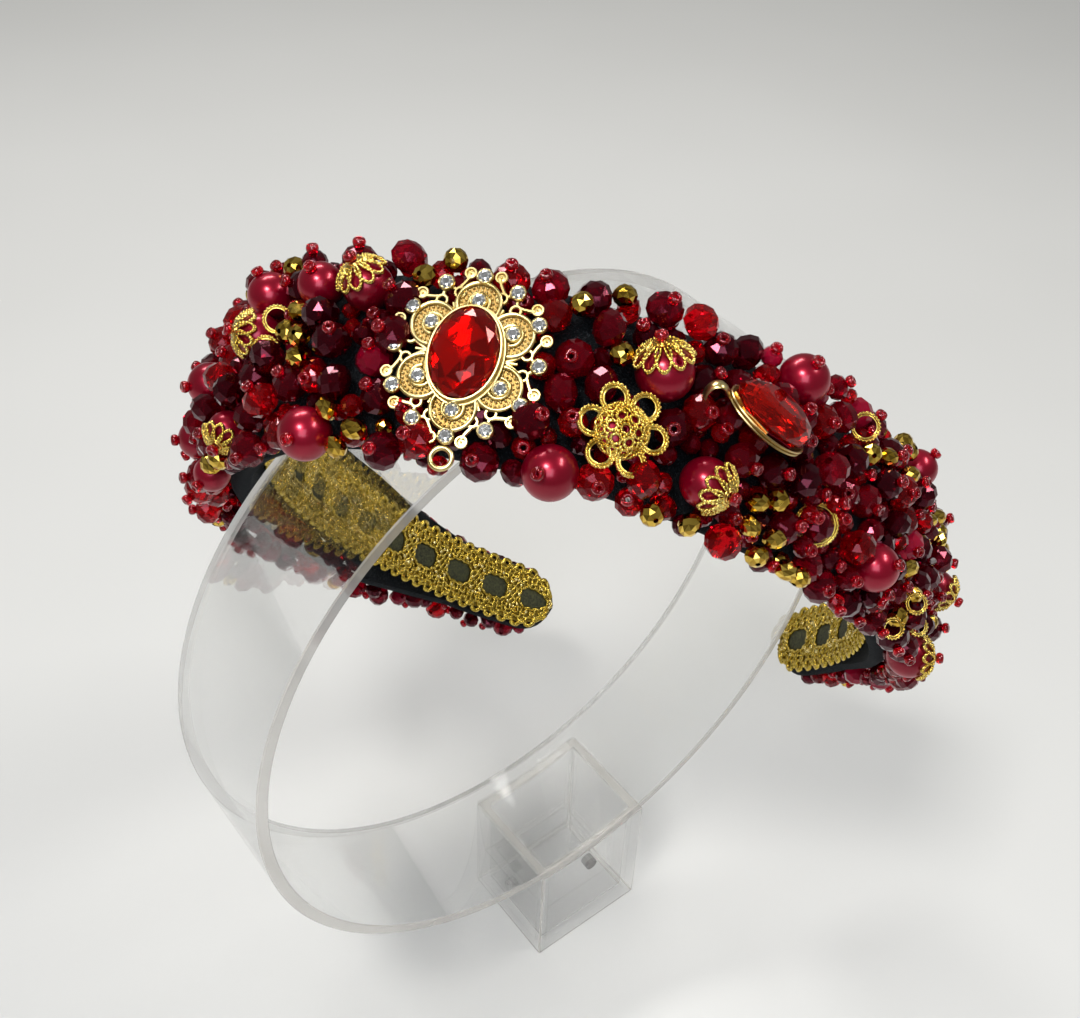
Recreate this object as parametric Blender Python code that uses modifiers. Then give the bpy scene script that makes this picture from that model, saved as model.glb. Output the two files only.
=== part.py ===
"""A beaded velvet headband resting on a clear display stand.

The stand is a hoop on a small square socket. The headband leans over the hoop's crown. Its own frame has
x to the wearer's one side, y to the back edge and z up through the crown, and everything on the headband
is placed by three numbers: along the arch in degrees from the crown, around the padded section in degrees
from its ridge towards the front edge, and lift off the velvet.
"""
import math
import random

import bmesh
import bpy
from mathutils import Euler, Matrix, Vector

MM = 0.001
GAP = 0.35 * MM

HOOP_RADIUS = 75 * MM
HOOP_WALL = 2.5 * MM
HOOP_WIDTH = 31 * MM
HOOP_CENTRE_HEIGHT = 110 * MM
HOOP_STEPS = 48

BASE_LOW = Vector((-7, -15.5)) * MM
BASE_HIGH = Vector((25, 12.5)) * MM
BASE_TOP = 38 * MM
BASE_WALL = 2.5 * MM
BASE_FLOOR = 2.5 * MM
BASE_HOLE_RADIUS = 1.6 * MM
BASE_HOLE_HEIGHTS = {"front": 27 * MM, "side": 14 * MM}

BAND_PLACE = Vector((17.0, 4.5, 120.9)) * MM
BAND_TURN = Euler((math.radians(32.5), math.radians(-10), math.radians(-58)))
ARCH_HALF_WIDTH = 60.5 * MM
ARCH_HALF_HEIGHT = 87 * MM

BRAID_HALF_WIDTH = 8.3 * MM
BRAID_THICKNESS = 1.5 * MM
BRAID_TIP = 148.5
VELVET_INNER = BRAID_THICKNESS + GAP
VELVET_EDGE = 3.5 * MM
VELVET_INNER_ROUND = 0.9 * MM
VELVET_TIP = 149.5
TIP_ROUNDING = 7.5
STATION_STEP = 10
LAST_STATION = 140
TIP_STATIONS = (0.0, 0.45, 0.75, 0.93, 1.0)
ROUND_STATIONS = (-90, -60, -30, 0, 30, 60, 90)

# Half width of the velvet and height of its padding, along the arch.
BAND_SECTIONS = (
    {"along": 0, "half_width": 16.5 * MM, "rise": 5.5 * MM},
    {"along": 60, "half_width": 16.5 * MM, "rise": 5.5 * MM},
    {"along": 100, "half_width": 14.5 * MM, "rise": 4.2 * MM},
    {"along": 125, "half_width": 9.4 * MM, "rise": 2.8 * MM},
    {"along": 150, "half_width": 8.7 * MM, "rise": 2.3 * MM},
)

FIELD_THICKNESS = 3.2 * MM
FIELD_LIFT = GAP
FIELD_END = 145
FIELD_SPLIT = 6
FIELD_SPLIT_GAP = 0.35
SPLIT_MARGIN = 3.4

CRYSTAL_RADIUS = 3.1 * MM
CRYSTAL_LIFT = 3.7 * MM
CRYSTAL_SIDES = 8
CRYSTAL_TABLE = 0.5
CRYSTAL_DEPTH = 0.86
CRYSTAL_ROOT = 1.0 * MM
CRYSTAL_SPACING = 11.5 * MM
CRYSTAL_ROWS = ((-64, 0, 64), (-33, 33))
CRYSTAL_TILT = 0.35
CRYSTAL_SEED = 7
CRYSTAL_STEP = 1.55
NARROW_STEP = 2
NARROW_FROM = 112
NARROW_ROWS = ((-50, 50), (0,))

PEARL_SIDES = 10
PEARL_RINGS = 5
PEARL_LIFT = 1.2 * MM
SOCKET_SIDES = 8
SOCKET_GAP = 0.5 * MM

# The pearls: place along the arch, place around the section, diameter.
PEARLS = (
    {"along": -24, "around": -31, "size": 8.0 * MM},
    {"along": -14, "around": -30, "size": 7.5 * MM},
    {"along": -6.3, "around": -26, "size": 8.0 * MM},
    {"along": -23, "around": -5, "size": 7.5 * MM},
    {"along": -38, "around": 8, "size": 8.0 * MM},
    {"along": -46, "around": 31, "size": 7.5 * MM},
    {"along": -28.5, "around": 45, "size": 6.5 * MM},
    {"along": -10.7, "around": 55, "size": 8.5 * MM},
    {"along": -38, "around": 66, "size": 6.5 * MM},
    {"along": 19, "around": 56, "size": 8.5 * MM},
    {"along": 28, "around": -9, "size": 9.0 * MM},
    {"along": 45.5, "around": -41, "size": 8.5 * MM},
    {"along": 35.5, "around": 35, "size": 8.0 * MM},
    {"along": 63, "around": 33, "size": 8.5 * MM},
    {"along": 76, "around": -60, "size": 7.5 * MM},
    {"along": 87, "around": 60, "size": 8.5 * MM},
    {"along": -60, "around": -34, "size": 8.0 * MM},
    {"along": -74, "around": 20, "size": 8.0 * MM},
    {"along": -108, "around": 26, "size": 7.0 * MM},
    {"along": 98, "around": -12, "size": 8.0 * MM},
    {"along": 114, "around": 34, "size": 7.0 * MM},
)

CAP_WALL = 0.5 * MM
CAP_REACH = 58
CAP_SCALLOP = 11
CAP_SIDES = 10
# Filigree caps, each on one pearl: the pearl's number, and the cap's lean along and across, in degrees.
CAPS = (
    {"pearl": 3, "lean_along": -8, "lean_across": -16},
    {"pearl": 4, "lean_along": -12, "lean_across": 12},
    {"pearl": 11, "lean_along": -30, "lean_across": -45},
    {"pearl": 13, "lean_along": 34, "lean_across": 16},
    {"pearl": 7, "lean_along": 10, "lean_across": 52},
    {"pearl": 16, "lean_along": 15, "lean_across": -35},
    {"pearl": 20, "lean_along": 10, "lean_across": 25},
)

MEDALLION = {"along": 7.5, "around": 6.5, "lift": 4.1 * MM, "turn": 0, "lean": 0}
MEDALLION_STONE_HALF = Vector((5, 7)) * MM
MEDALLION_STONE_HEIGHT = 3.0 * MM
MEDALLION_PLATE = 0.8 * MM
BEZEL_WALL = 0.5 * MM
BEZEL_HEIGHT = 1.7 * MM
BEZEL_LEDGE = 1.2 * MM
BEZEL_SIDES = 16
ARCH_COUNT = 6
LACE_STRETCH = 1.4 * MM
TIP_STONE_RADIUS = 1.35 * MM
TIP_STONE_REACH = 11.2 * MM
DISC_RADIUS = 0.95 * MM
DISC_TURN = 11.5
DISC_REACH = 11.6 * MM
LACE_VALLEY = 9.3 * MM
LACE_STEP = 5
ARCH_OUTER = 3.3 * MM
ARCH_RIM = 1.25 * MM
ARCH_CENTRE = 7.0 * MM
ARCH_HEIGHT = 0.7 * MM
HORSESHOE_POINTS = 6
HORSESHOE_SPREAD = 105
SMALL_STONE_RADIUS = 1.15 * MM
SMALL_STONE_HEIGHT = 1.6 * MM
ARCH_STONE_RADIUS = 1.05 * MM
ARCH_STONE_REACH = 8.2 * MM
# Pierced holes of the lace: turn from an arch's tip or from a valley, reach, radius, sides.
TIP_HOLES = (
    {"turn": -11, "reach": 6.9 * MM, "radius": 0.5 * MM, "sides": 3},
    {"turn": 11, "reach": 6.9 * MM, "radius": 0.5 * MM, "sides": 3},
)
VALLEY_HOLES = (
    {"turn": 0, "reach": 7.1 * MM, "radius": 0.6 * MM, "sides": 3},
    {"turn": -9, "reach": 8.3 * MM, "radius": 0.45 * MM, "sides": 5},
    {"turn": 9, "reach": 8.3 * MM, "radius": 0.45 * MM, "sides": 5},
)
RING_RADIUS = 1.6 * MM
RING_WIRE = 0.42 * MM
RING_REACH = 15.9 * MM

PENDANT = {"along": 39.4, "around": -1.0, "lift": 6.8 * MM, "turn": -12, "lean": -36}
PENDANT_STONE_HALF = Vector((7, 5)) * MM
PENDANT_STONE_HEIGHT = 3.8 * MM
PENDANT_CUP_HEIGHT = 2.0 * MM
PENDANT_CUP_SHOULDER = 0.8 * MM
PENDANT_CUP_FLOOR = 0.9 * MM
PENDANT_LOOP_RADIUS = 1.5 * MM
PENDANT_LOOP_OVERLAP = 0.1 * MM

FLOWER = {"along": 25, "around": 24.5, "lift": 4.8 * MM, "turn": 0, "lean": 0}
FLOWER_PETALS = 6
FLOWER_BOSS_RADIUS = 3.7 * MM
FLOWER_BOSS_HEIGHT = 2.6 * MM
PETAL_RADIUS = 1.75 * MM
PETAL_WIRE = 0.42 * MM
PETAL_REACH = 4.5 * MM
PETAL_DROOP = 10

STONE_SIDES = 12
FLAT_ANGLE = 0.5
# A cut stone's rings from back to table: share of its height, share of its half size.
STONE_RINGS = (
    {"height": 0.0, "size": 0.86},
    {"height": 0.28, "size": 1.0},
    {"height": 0.40, "size": 1.0},
    {"height": 1.0, "size": 0.58},
)

# Half sizes of the discs that the crystals keep clear of.
MEDALLION_DISC = Vector((13.0, 15.0)) * MM
PENDANT_DISC = PENDANT_STONE_HALF + Vector((1.4, 1.2)) * MM
FLOWER_DISC = Vector((7.0, 7.0)) * MM

COLOURS = {
    "acrylic": ((0.93, 0.95, 0.95), 0.05, 0.0),
    "velvet": ((0.008, 0.010, 0.012), 0.95, 0.0),
    "braid": ((0.42, 0.34, 0.10), 0.35, 1.0),
    "crystal": ((0.30, 0.010, 0.030), 0.08, 0.0),
    "pearl": ((0.52, 0.020, 0.070), 0.22, 0.0),
    "gold": ((0.88, 0.70, 0.36), 0.20, 1.0),
    "brass": ((0.80, 0.55, 0.16), 0.25, 1.0),
    "ruby": ((0.72, 0.010, 0.010), 0.05, 0.0),
}


for old in list(bpy.data.objects):
    bpy.data.objects.remove(old)

parts = bpy.data.collections.new("velvet_headband")
tools = bpy.data.collections.new("cutters")
bpy.context.scene.collection.children.link(parts)
bpy.context.scene.collection.children.link(tools)

band_seat = bpy.data.objects.new("band_seat", None)
band_seat.location = BAND_PLACE
band_seat.rotation_euler = BAND_TURN
parts.objects.link(band_seat)


def material(kind):
    """The one shared material of a kind."""
    if kind in bpy.data.materials:
        return bpy.data.materials[kind]
    colour, roughness, metallic = COLOURS[kind]
    made = bpy.data.materials.new(kind)
    made.use_nodes = True
    shader = made.node_tree.nodes["Principled BSDF"]
    shader.inputs["Base Color"].default_value = (*colour, 1.0)
    shader.inputs["Roughness"].default_value = roughness
    shader.inputs["Metallic"].default_value = metallic
    return made


def add_part(name, mesh, kind, parent=None, matrix=None, smooth=40):
    """Link a finished mesh as one named part."""
    part = bpy.data.objects.new(name, mesh)
    parts.objects.link(part)
    part.data.materials.clear()
    part.data.materials.append(material(kind))
    part.parent = parent
    if matrix is not None:
        part.matrix_local = matrix
    mesh.shade_smooth()
    mesh.set_sharp_from_angle(angle=math.radians(smooth))
    return part


def add_tool(name, mesh, group, parent=None, matrix=None):
    """Link a mesh that another piece is cut with or joined to."""
    tool = bpy.data.objects.new(name, mesh)
    group.objects.link(tool)
    tool.parent = parent
    if matrix is not None:
        tool.matrix_local = matrix
    tool.hide_render = True
    tool.display_type = "WIRE"
    return tool


def tool_group(name):
    """A collection of tools that one Boolean uses together."""
    group = bpy.data.collections.new(name)
    tools.children.link(group)
    return group


def combine(part, group, operation):
    """Cut a part with a group of tools, or join the group to it."""
    modifier = part.modifiers.new(operation.lower(), "BOOLEAN")
    modifier.operand_type = "COLLECTION"
    modifier.collection = group
    modifier.operation = operation
    modifier.solver = "EXACT"


def merge_flat_faces(part):
    """Take out the edges that Booleans leave across flat faces."""
    modifier = part.modifiers.new("merge_flat_faces", "DECIMATE")
    modifier.decimate_type = "DISSOLVE"
    modifier.angle_limit = math.radians(FLAT_ANGLE)


def mesh_from(name, build):
    """A new mesh that build(bm) fills."""
    bm = bmesh.new()
    build(bm)
    bmesh.ops.recalc_face_normals(bm, faces=bm.faces)
    mesh = bpy.data.meshes.new(name)
    bm.to_mesh(mesh)
    bm.free()
    return mesh


def loft(name, rings):
    """A closed skin through rings with equal numbers of points."""
    def build(bm):
        made = [[bm.verts.new(point) for point in ring] for ring in rings]
        count = len(rings[0])
        for low, high in zip(made, made[1:]):
            for k in range(count):
                n = (k + 1) % count
                bm.faces.new((low[k], low[n], high[n], high[k]))
        bm.faces.new(reversed(made[0]))
        bm.faces.new(made[-1])
    return mesh_from(name, build)


def box_mesh(name, low, high):
    """A box between two corners."""
    low, high = Vector(low), Vector(high)
    size = high - low
    matrix = Matrix.Translation((low + high) / 2) @ Matrix.Diagonal((*size, 1))
    return mesh_from(name, lambda bm: bmesh.ops.create_cube(bm, size=1, matrix=matrix))


def rod_mesh(name, radius, length, sides):
    """A cylinder along Z, centred on its origin."""
    def build(bm):
        bmesh.ops.create_cone(
            bm, cap_ends=True, segments=sides, radius1=radius, radius2=radius, depth=length
        )
    return mesh_from(name, build)


def oval(half, sides, height, scale=1.0):
    """A ring of points on an oval."""
    angles = [math.tau * k / sides for k in range(sides)]
    return [Vector((half.x * scale * math.cos(a), half.y * scale * math.sin(a), height)) for a in angles]


def flat_mesh(name, outlines, low, high):
    """A flat shape with holes, as a filled 2D curve that is extruded, made a mesh."""
    curve = bpy.data.curves.new(name, "CURVE")
    curve.dimensions = "2D"
    curve.fill_mode = "BOTH"
    curve.extrude = (high - low) / 2
    for outline in outlines:
        spline = curve.splines.new("POLY")
        spline.points.add(len(outline) - 1)
        for point, (x, y) in zip(spline.points, outline):
            point.co = (x, y, 0, 1)
        spline.use_cyclic_u = True
    guide = bpy.data.objects.new(name + "_plan", curve)
    guide.location = (0, 0, (low + high) / 2)
    tools.objects.link(guide)
    return mesh_of_curve(name, guide)


def mesh_of_curve(name, guide):
    """The welded mesh of a curve object, with its place in it, and the curve removed."""
    bpy.context.view_layer.update()
    graph = bpy.context.evaluated_depsgraph_get()
    mesh = bpy.data.meshes.new_from_object(guide.evaluated_get(graph))
    mesh.name = name
    mesh.transform(guide.matrix_world)
    bm = bmesh.new()
    bm.from_mesh(mesh)
    bmesh.ops.remove_doubles(bm, verts=bm.verts, dist=1e-6)
    bmesh.ops.recalc_face_normals(bm, faces=bm.faces)
    bm.to_mesh(mesh)
    bm.free()
    bpy.data.objects.remove(guide)
    return mesh


def wire_loop(name, radius, wire, segments, centre, resolution=1):
    """A round wire ring lying in the XY plane."""
    curve = bpy.data.curves.new(name, "CURVE")
    curve.dimensions = "3D"
    curve.bevel_depth = wire
    curve.bevel_resolution = resolution
    spline = curve.splines.new("POLY")
    spline.points.add(segments - 1)
    for k, point in enumerate(spline.points):
        turn = math.tau * k / segments
        point.co = (radius * math.cos(turn), radius * math.sin(turn), 0, 1)
    spline.use_cyclic_u = True
    guide = bpy.data.objects.new(name + "_path", curve)
    guide.location = centre
    tools.objects.link(guide)
    return mesh_of_curve(name, guide)


def section(along):
    """Half width and padding height of the velvet at a place along the arch."""
    reach = abs(along)
    for low, high in zip(BAND_SECTIONS, BAND_SECTIONS[1:]):
        if reach <= high["along"]:
            share = (reach - low["along"]) / (high["along"] - low["along"])
            share = max(0.0, share)
            width = low["half_width"] + share * (high["half_width"] - low["half_width"])
            rise = low["rise"] + share * (high["rise"] - low["rise"])
            return width, rise
    return BAND_SECTIONS[-1]["half_width"], BAND_SECTIONS[-1]["rise"]


def arch_axes(along):
    """Foot on the braid's inner face, way along and way out, at a place along the arch."""
    turn = math.radians(along)
    foot = Vector((ARCH_HALF_WIDTH * math.sin(turn), 0, ARCH_HALF_HEIGHT * math.cos(turn)))
    tangent = Vector((ARCH_HALF_WIDTH * math.cos(turn), 0, -ARCH_HALF_HEIGHT * math.sin(turn))).normalized()
    return foot, tangent, Vector((-tangent.z, 0, tangent.x))


def arch_point(along, out, across):
    """A point by its place along the arch, out from the braid, and across to the front edge."""
    foot, _, outward = arch_axes(along)
    return foot + outward * out - Vector((0, across, 0))


def seat(along, around, lift, turn=0.0):
    """Frame on the velvet: x along the band, y to the back edge, z straight off the surface."""
    width, rise = section(along)
    angle = math.radians(around)
    _, tangent, outward = arch_axes(along)
    across = Vector((0, -1, 0))
    normal = (outward * math.cos(angle) / rise + across * math.sin(angle) / width).normalized()
    point = arch_point(along, VELVET_EDGE + rise * math.cos(angle), width * math.sin(angle))
    matrix = Matrix((tangent, normal.cross(tangent), normal)).transposed().to_4x4()
    matrix.translation = point + normal * lift
    return matrix @ Matrix.Rotation(math.radians(turn), 4, "Z")


def ornament_seat(row):
    """Frame at the underside of a raised ornament."""
    lean = Matrix.Rotation(math.radians(row["lean"]), 4, "X")
    return seat(row["along"], row["around"], row["lift"], row["turn"]) @ lean


def stations(tip):
    """Places along the arch with the share of the full width that each keeps: round at both tips."""
    rows = [(along, 1.0) for along in range(-LAST_STATION, LAST_STATION + 1, STATION_STEP)]
    start = tip - TIP_ROUNDING
    for share in TIP_STATIONS:
        keep = max(0.12, math.sqrt(1 - share * share))
        rows.append((start + TIP_ROUNDING * share, keep))
        rows.insert(0, (-start - TIP_ROUNDING * share, keep))
    return rows


def make_hoop():
    """The clear hoop: a turned strip."""
    half = HOOP_WIDTH / 2
    inner = HOOP_RADIUS - HOOP_WALL
    profile = ((HOOP_RADIUS, half), (HOOP_RADIUS, -half), (inner, -half), (inner, half))
    mesh = bpy.data.meshes.new("stand_hoop")
    points = [(x, 0, z) for x, z in profile]
    edges = [(k, (k + 1) % len(points)) for k in range(len(points))]
    mesh.from_pydata(points, edges, [])
    hoop = add_part("stand_hoop", mesh, "acrylic")
    hoop.location = (0, 0, HOOP_CENTRE_HEIGHT)
    hoop.rotation_euler = (math.radians(90), 0, 0)
    screw = hoop.modifiers.new("turn", "SCREW")
    screw.steps = HOOP_STEPS
    screw.render_steps = HOOP_STEPS
    screw.use_merge_vertices = True
    screw.merge_threshold = 1e-6


def make_base():
    """The clear socket: four walls on a floor, with tops hollowed to the hoop and two screw holes."""
    base = add_part("stand_base", box_mesh("stand_base", (*BASE_LOW, 0), (*BASE_HIGH, BASE_TOP)), "acrylic")
    cuts = tool_group("base_cuts")
    low = (BASE_LOW.x + BASE_WALL, BASE_LOW.y + BASE_WALL, BASE_FLOOR)
    high = (BASE_HIGH.x - BASE_WALL, BASE_HIGH.y - BASE_WALL, BASE_TOP + BASE_WALL)
    add_tool("base_inside", box_mesh("base_inside", low, high), cuts)
    crown = rod_mesh("base_saddle", HOOP_RADIUS + GAP, 2 * HOOP_WIDTH, 2 * HOOP_STEPS)
    saddle = add_tool("base_saddle", crown, cuts)
    saddle.location = (0, 0, HOOP_CENTRE_HEIGHT)
    saddle.rotation_euler = (math.radians(90), 0, 0)
    drill = rod_mesh("base_drill", BASE_HOLE_RADIUS, 3 * BASE_WALL, 12)
    middle = (BASE_LOW + BASE_HIGH) / 2
    front = add_tool("base_hole_front", drill, cuts)
    front.location = (middle.x, BASE_LOW.y, BASE_HOLE_HEIGHTS["front"])
    front.rotation_euler = (math.radians(90), 0, 0)
    side = add_tool("base_hole_side", drill, cuts)
    side.location = (BASE_LOW.x, middle.y, BASE_HOLE_HEIGHTS["side"])
    side.rotation_euler = (0, math.radians(90), 0)
    combine(base, cuts, "DIFFERENCE")


def make_velvet():
    """The padded band: flat towards the braid, domed towards the beads, round at both tips."""
    rings = []
    for along, keep in stations(VELVET_TIP):
        width, rise = section(along)
        width *= keep
        rise *= keep
        inner = max(width - VELVET_INNER_ROUND, width / 2)
        ring = [(VELVET_INNER, -inner), (VELVET_INNER, inner)]
        for around in reversed(ROUND_STATIONS):
            angle = math.radians(around)
            ring.append((VELVET_EDGE + rise * math.cos(angle), width * math.sin(angle)))
        rings.append([arch_point(along, out, across) for out, across in ring])
    add_part("velvet_band", loft("velvet_band", rings), "velvet", band_seat)


def make_braid():
    """The metallic braid that lines the inside of the arch."""
    rings = []
    for along, keep in stations(BRAID_TIP):
        half = BRAID_HALF_WIDTH * keep
        ring = ((0, -half), (0, half), (BRAID_THICKNESS, half), (BRAID_THICKNESS, -half))
        rings.append([arch_point(along, out, across) for out, across in ring])
    add_part("gold_braid", loft("gold_braid", rings), "braid", band_seat)


def pearl_frame(row):
    """Frame at a pearl's centre."""
    return seat(row["along"], row["around"], PEARL_LIFT + row["size"] / 2)


def make_pearls():
    """The pearls, each on its own place on the velvet."""
    for number, row in enumerate(PEARLS, 1):
        def build(bm, radius=row["size"] / 2):
            bmesh.ops.create_uvsphere(bm, u_segments=PEARL_SIDES, v_segments=PEARL_RINGS, radius=radius)
        name = f"pearl_{number:02d}"
        add_part(name, mesh_from(name, build), "pearl", band_seat, pearl_frame(row), smooth=80)


def cap_frame(row):
    """Frame at the centre of a capped pearl, with z towards the cap's crown."""
    pearl = PEARLS[row["pearl"] - 1]
    along = Matrix.Rotation(math.radians(row["lean_along"]), 4, "Y")
    across = Matrix.Rotation(math.radians(row["lean_across"]), 4, "X")
    return pearl_frame(pearl) @ across @ along


def make_caps():
    """Filigree caps: thin shells with a scalloped hem over the side of a pearl."""
    for number, row in enumerate(CAPS, 1):
        inner = PEARLS[row["pearl"] - 1]["size"] / 2 + GAP

        def build(bm, inner=inner):
            shells = []
            for radius in (inner, inner + CAP_WALL):
                crown = bm.verts.new((0, 0, radius))
                rings = []
                for share in (0.5, 1.0):
                    ring = []
                    for k in range(CAP_SIDES):
                        turn = math.tau * k / CAP_SIDES
                        dip = CAP_SCALLOP * (k % 2) * (share == 1.0)
                        reach = math.radians(CAP_REACH * share - dip)
                        ring.append(bm.verts.new((
                            radius * math.sin(reach) * math.cos(turn),
                            radius * math.sin(reach) * math.sin(turn),
                            radius * math.cos(reach),
                        )))
                    rings.append(ring)
                for k in range(CAP_SIDES):
                    n = (k + 1) % CAP_SIDES
                    bm.faces.new((crown, rings[0][k], rings[0][n]))
                    bm.faces.new((rings[0][k], rings[1][k], rings[1][n], rings[0][n]))
                shells.append(rings[1])
            for k in range(CAP_SIDES):
                n = (k + 1) % CAP_SIDES
                bm.faces.new((shells[0][k], shells[1][k], shells[1][n], shells[0][n]))
        name = f"bead_cap_{number:02d}"
        add_part(name, mesh_from(name, build), "brass", band_seat, cap_frame(row))


def cut_stone(name, half, height, bottom):
    """An oval stone: table, crown facets, girdle facets and a flat back."""
    rings = [oval(half, STONE_SIDES, bottom + ring["height"] * height, ring["size"]) for ring in STONE_RINGS]
    return loft(name, rings)


def lace_edge(turn):
    """How far the medallion's lace reaches at an angle: discs and tip stones round a plain valley."""
    reach = LACE_VALLEY
    step = 360 / (2 * ARCH_COUNT)
    for k in range(2 * ARCH_COUNT):
        centre = 90 + k * step
        discs = [(centre, TIP_STONE_REACH, TIP_STONE_RADIUS)]
        if k % 2 == 0:
            discs.append((centre - DISC_TURN, DISC_REACH, DISC_RADIUS))
            discs.append((centre + DISC_TURN, DISC_REACH, DISC_RADIUS))
        for angle, distance, radius in discs:
            off = math.radians(turn - angle)
            side = distance * math.sin(off)
            if abs(side) < radius and math.cos(off) > 0:
                reach = max(reach, distance * math.cos(off) + math.sqrt(radius ** 2 - side ** 2))
    return reach


def lace_point(turn, reach):
    """A point of the medallion's plan, stretched from round to oval."""
    angle = math.radians(turn)
    return (reach * math.cos(angle), (reach + LACE_STRETCH) * math.sin(angle))


def lace_hole(middle, hole):
    """One pierced hole of the medallion's plan, by its turn from an arch's tip or a valley."""
    x, y = lace_point(middle + hole["turn"], hole["reach"])
    start = math.radians(middle + hole["turn"])
    angles = [start + math.tau * k / hole["sides"] for k in range(hole["sides"])]
    return [(x + hole["radius"] * math.cos(a), y + hole["radius"] * math.sin(a)) for a in angles]


def arch_plan(turn):
    """Outline of one raised horseshoe of the medallion."""
    angle = math.radians(turn)
    x, y = lace_point(turn, ARCH_CENTRE)
    outline = []
    for radius, order in ((ARCH_OUTER, 1), (ARCH_OUTER - ARCH_RIM, -1)):
        for k in range(HORSESHOE_POINTS)[::order]:
            share = k / (HORSESHOE_POINTS - 1)
            spread = angle + math.radians(HORSESHOE_SPREAD * (2 * share - 1))
            outline.append((x + radius * math.cos(spread), y + radius * math.sin(spread)))
    return outline


def gem_mesh(name, radius, height):
    """A small round stone in its cup, to be joined to a setting."""
    half = Vector((radius, radius))
    rings = (oval(half, 8, 0), oval(half, 8, height, 0.6))
    return loft(name, rings)


def make_medallion():
    """The oval filigree medallion: pierced lace, raised horseshoes, small stones, bezel and ring."""
    place = ornament_seat(MEDALLION)
    step = 360 / ARCH_COUNT
    edge = [lace_point(turn, lace_edge(turn)) for turn in range(0, 360, LACE_STEP)]
    opening = MEDALLION_STONE_HALF - Vector((BEZEL_LEDGE, BEZEL_LEDGE))
    plans = [edge, [(p.x, p.y) for p in oval(opening, STONE_SIDES, 0)]]
    for k in range(ARCH_COUNT):
        tip = 90 + k * step
        valley = tip + step / 2
        plans += [lace_hole(tip, hole) for hole in TIP_HOLES]
        plans += [lace_hole(valley, hole) for hole in VALLEY_HOLES]
    plate = flat_mesh("medallion_setting", plans, 0, MEDALLION_PLATE)
    setting = add_part("medallion_setting", plate, "gold", band_seat, place)

    raised = tool_group("medallion_relief")
    start = MEDALLION_PLATE * 0.5
    wall = Vector((BEZEL_WALL, BEZEL_WALL))
    inner = MEDALLION_STONE_HALF + Vector((GAP, GAP))
    rims = [[(p.x, p.y) for p in oval(half, BEZEL_SIDES, 0)] for half in (inner + wall, inner)]
    rim = flat_mesh("medallion_bezel", rims, start, MEDALLION_PLATE + BEZEL_HEIGHT)
    add_tool("medallion_bezel", rim, raised, band_seat, place)
    for k in range(ARCH_COUNT):
        tip = 90 + k * step
        arch = flat_mesh(f"horseshoe_{k}", [arch_plan(tip)], start * 0.7, MEDALLION_PLATE + ARCH_HEIGHT)
        add_tool(f"horseshoe_{k}", arch, raised, band_seat, place)
        spots = (
            (tip, ARCH_STONE_REACH, ARCH_STONE_RADIUS),
            (tip, TIP_STONE_REACH, SMALL_STONE_RADIUS),
            (tip + step / 2, TIP_STONE_REACH, SMALL_STONE_RADIUS),
        )
        for n, (turn, reach, radius) in enumerate(spots):
            x, y = lace_point(turn, reach)
            gem = gem_mesh(f"small_stone_{k}_{n}", radius, SMALL_STONE_HEIGHT)
            spot = place @ Matrix.Translation((x, y, start * (0.8 + 0.1 * n)))
            add_tool(f"small_stone_{k}_{n}", gem, raised, band_seat, spot)
    ring = wire_loop("medallion_ring", RING_RADIUS, RING_WIRE, 12, (0, -RING_REACH, start))
    add_tool("medallion_ring", ring, raised, band_seat, place)
    combine(setting, raised, "UNION")
    merge_flat_faces(setting)

    bottom = MEDALLION_PLATE + GAP
    stone = cut_stone("medallion_stone", MEDALLION_STONE_HALF, MEDALLION_STONE_HEIGHT, bottom)
    add_part("medallion_stone", stone, "ruby", band_seat, place, smooth=5)


def make_pendant():
    """The second oval stone, in a plain cup with a loop at one end."""
    place = ornament_seat(PENDANT)
    inner = PENDANT_STONE_HALF + Vector((GAP, GAP))
    outer = inner + Vector((BEZEL_WALL, BEZEL_WALL))
    sides = BEZEL_SIDES
    rings = (
        oval(outer, sides, 0, STONE_RINGS[0]["size"]),
        oval(outer, sides, PENDANT_CUP_SHOULDER),
        oval(outer, sides, PENDANT_CUP_HEIGHT),
        oval(inner, sides, PENDANT_CUP_HEIGHT),
        oval(inner, sides, PENDANT_CUP_FLOOR, 0.94),
    )
    cup = add_part("pendant_cup", loft("pendant_cup", rings), "gold", band_seat, place)
    loops = tool_group("pendant_loop")
    centre = (-outer.x - PENDANT_LOOP_RADIUS + PENDANT_LOOP_OVERLAP, 0, PENDANT_CUP_HEIGHT / 2)
    loop = wire_loop("pendant_loop", PENDANT_LOOP_RADIUS, RING_WIRE, 12, centre)
    add_tool("pendant_loop", loop, loops, band_seat, place)
    combine(cup, loops, "UNION")
    stone = cut_stone("pendant_stone", PENDANT_STONE_HALF, PENDANT_STONE_HEIGHT, PENDANT_CUP_FLOOR + GAP)
    add_part("pendant_stone", stone, "ruby", band_seat, place, smooth=5)


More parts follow.
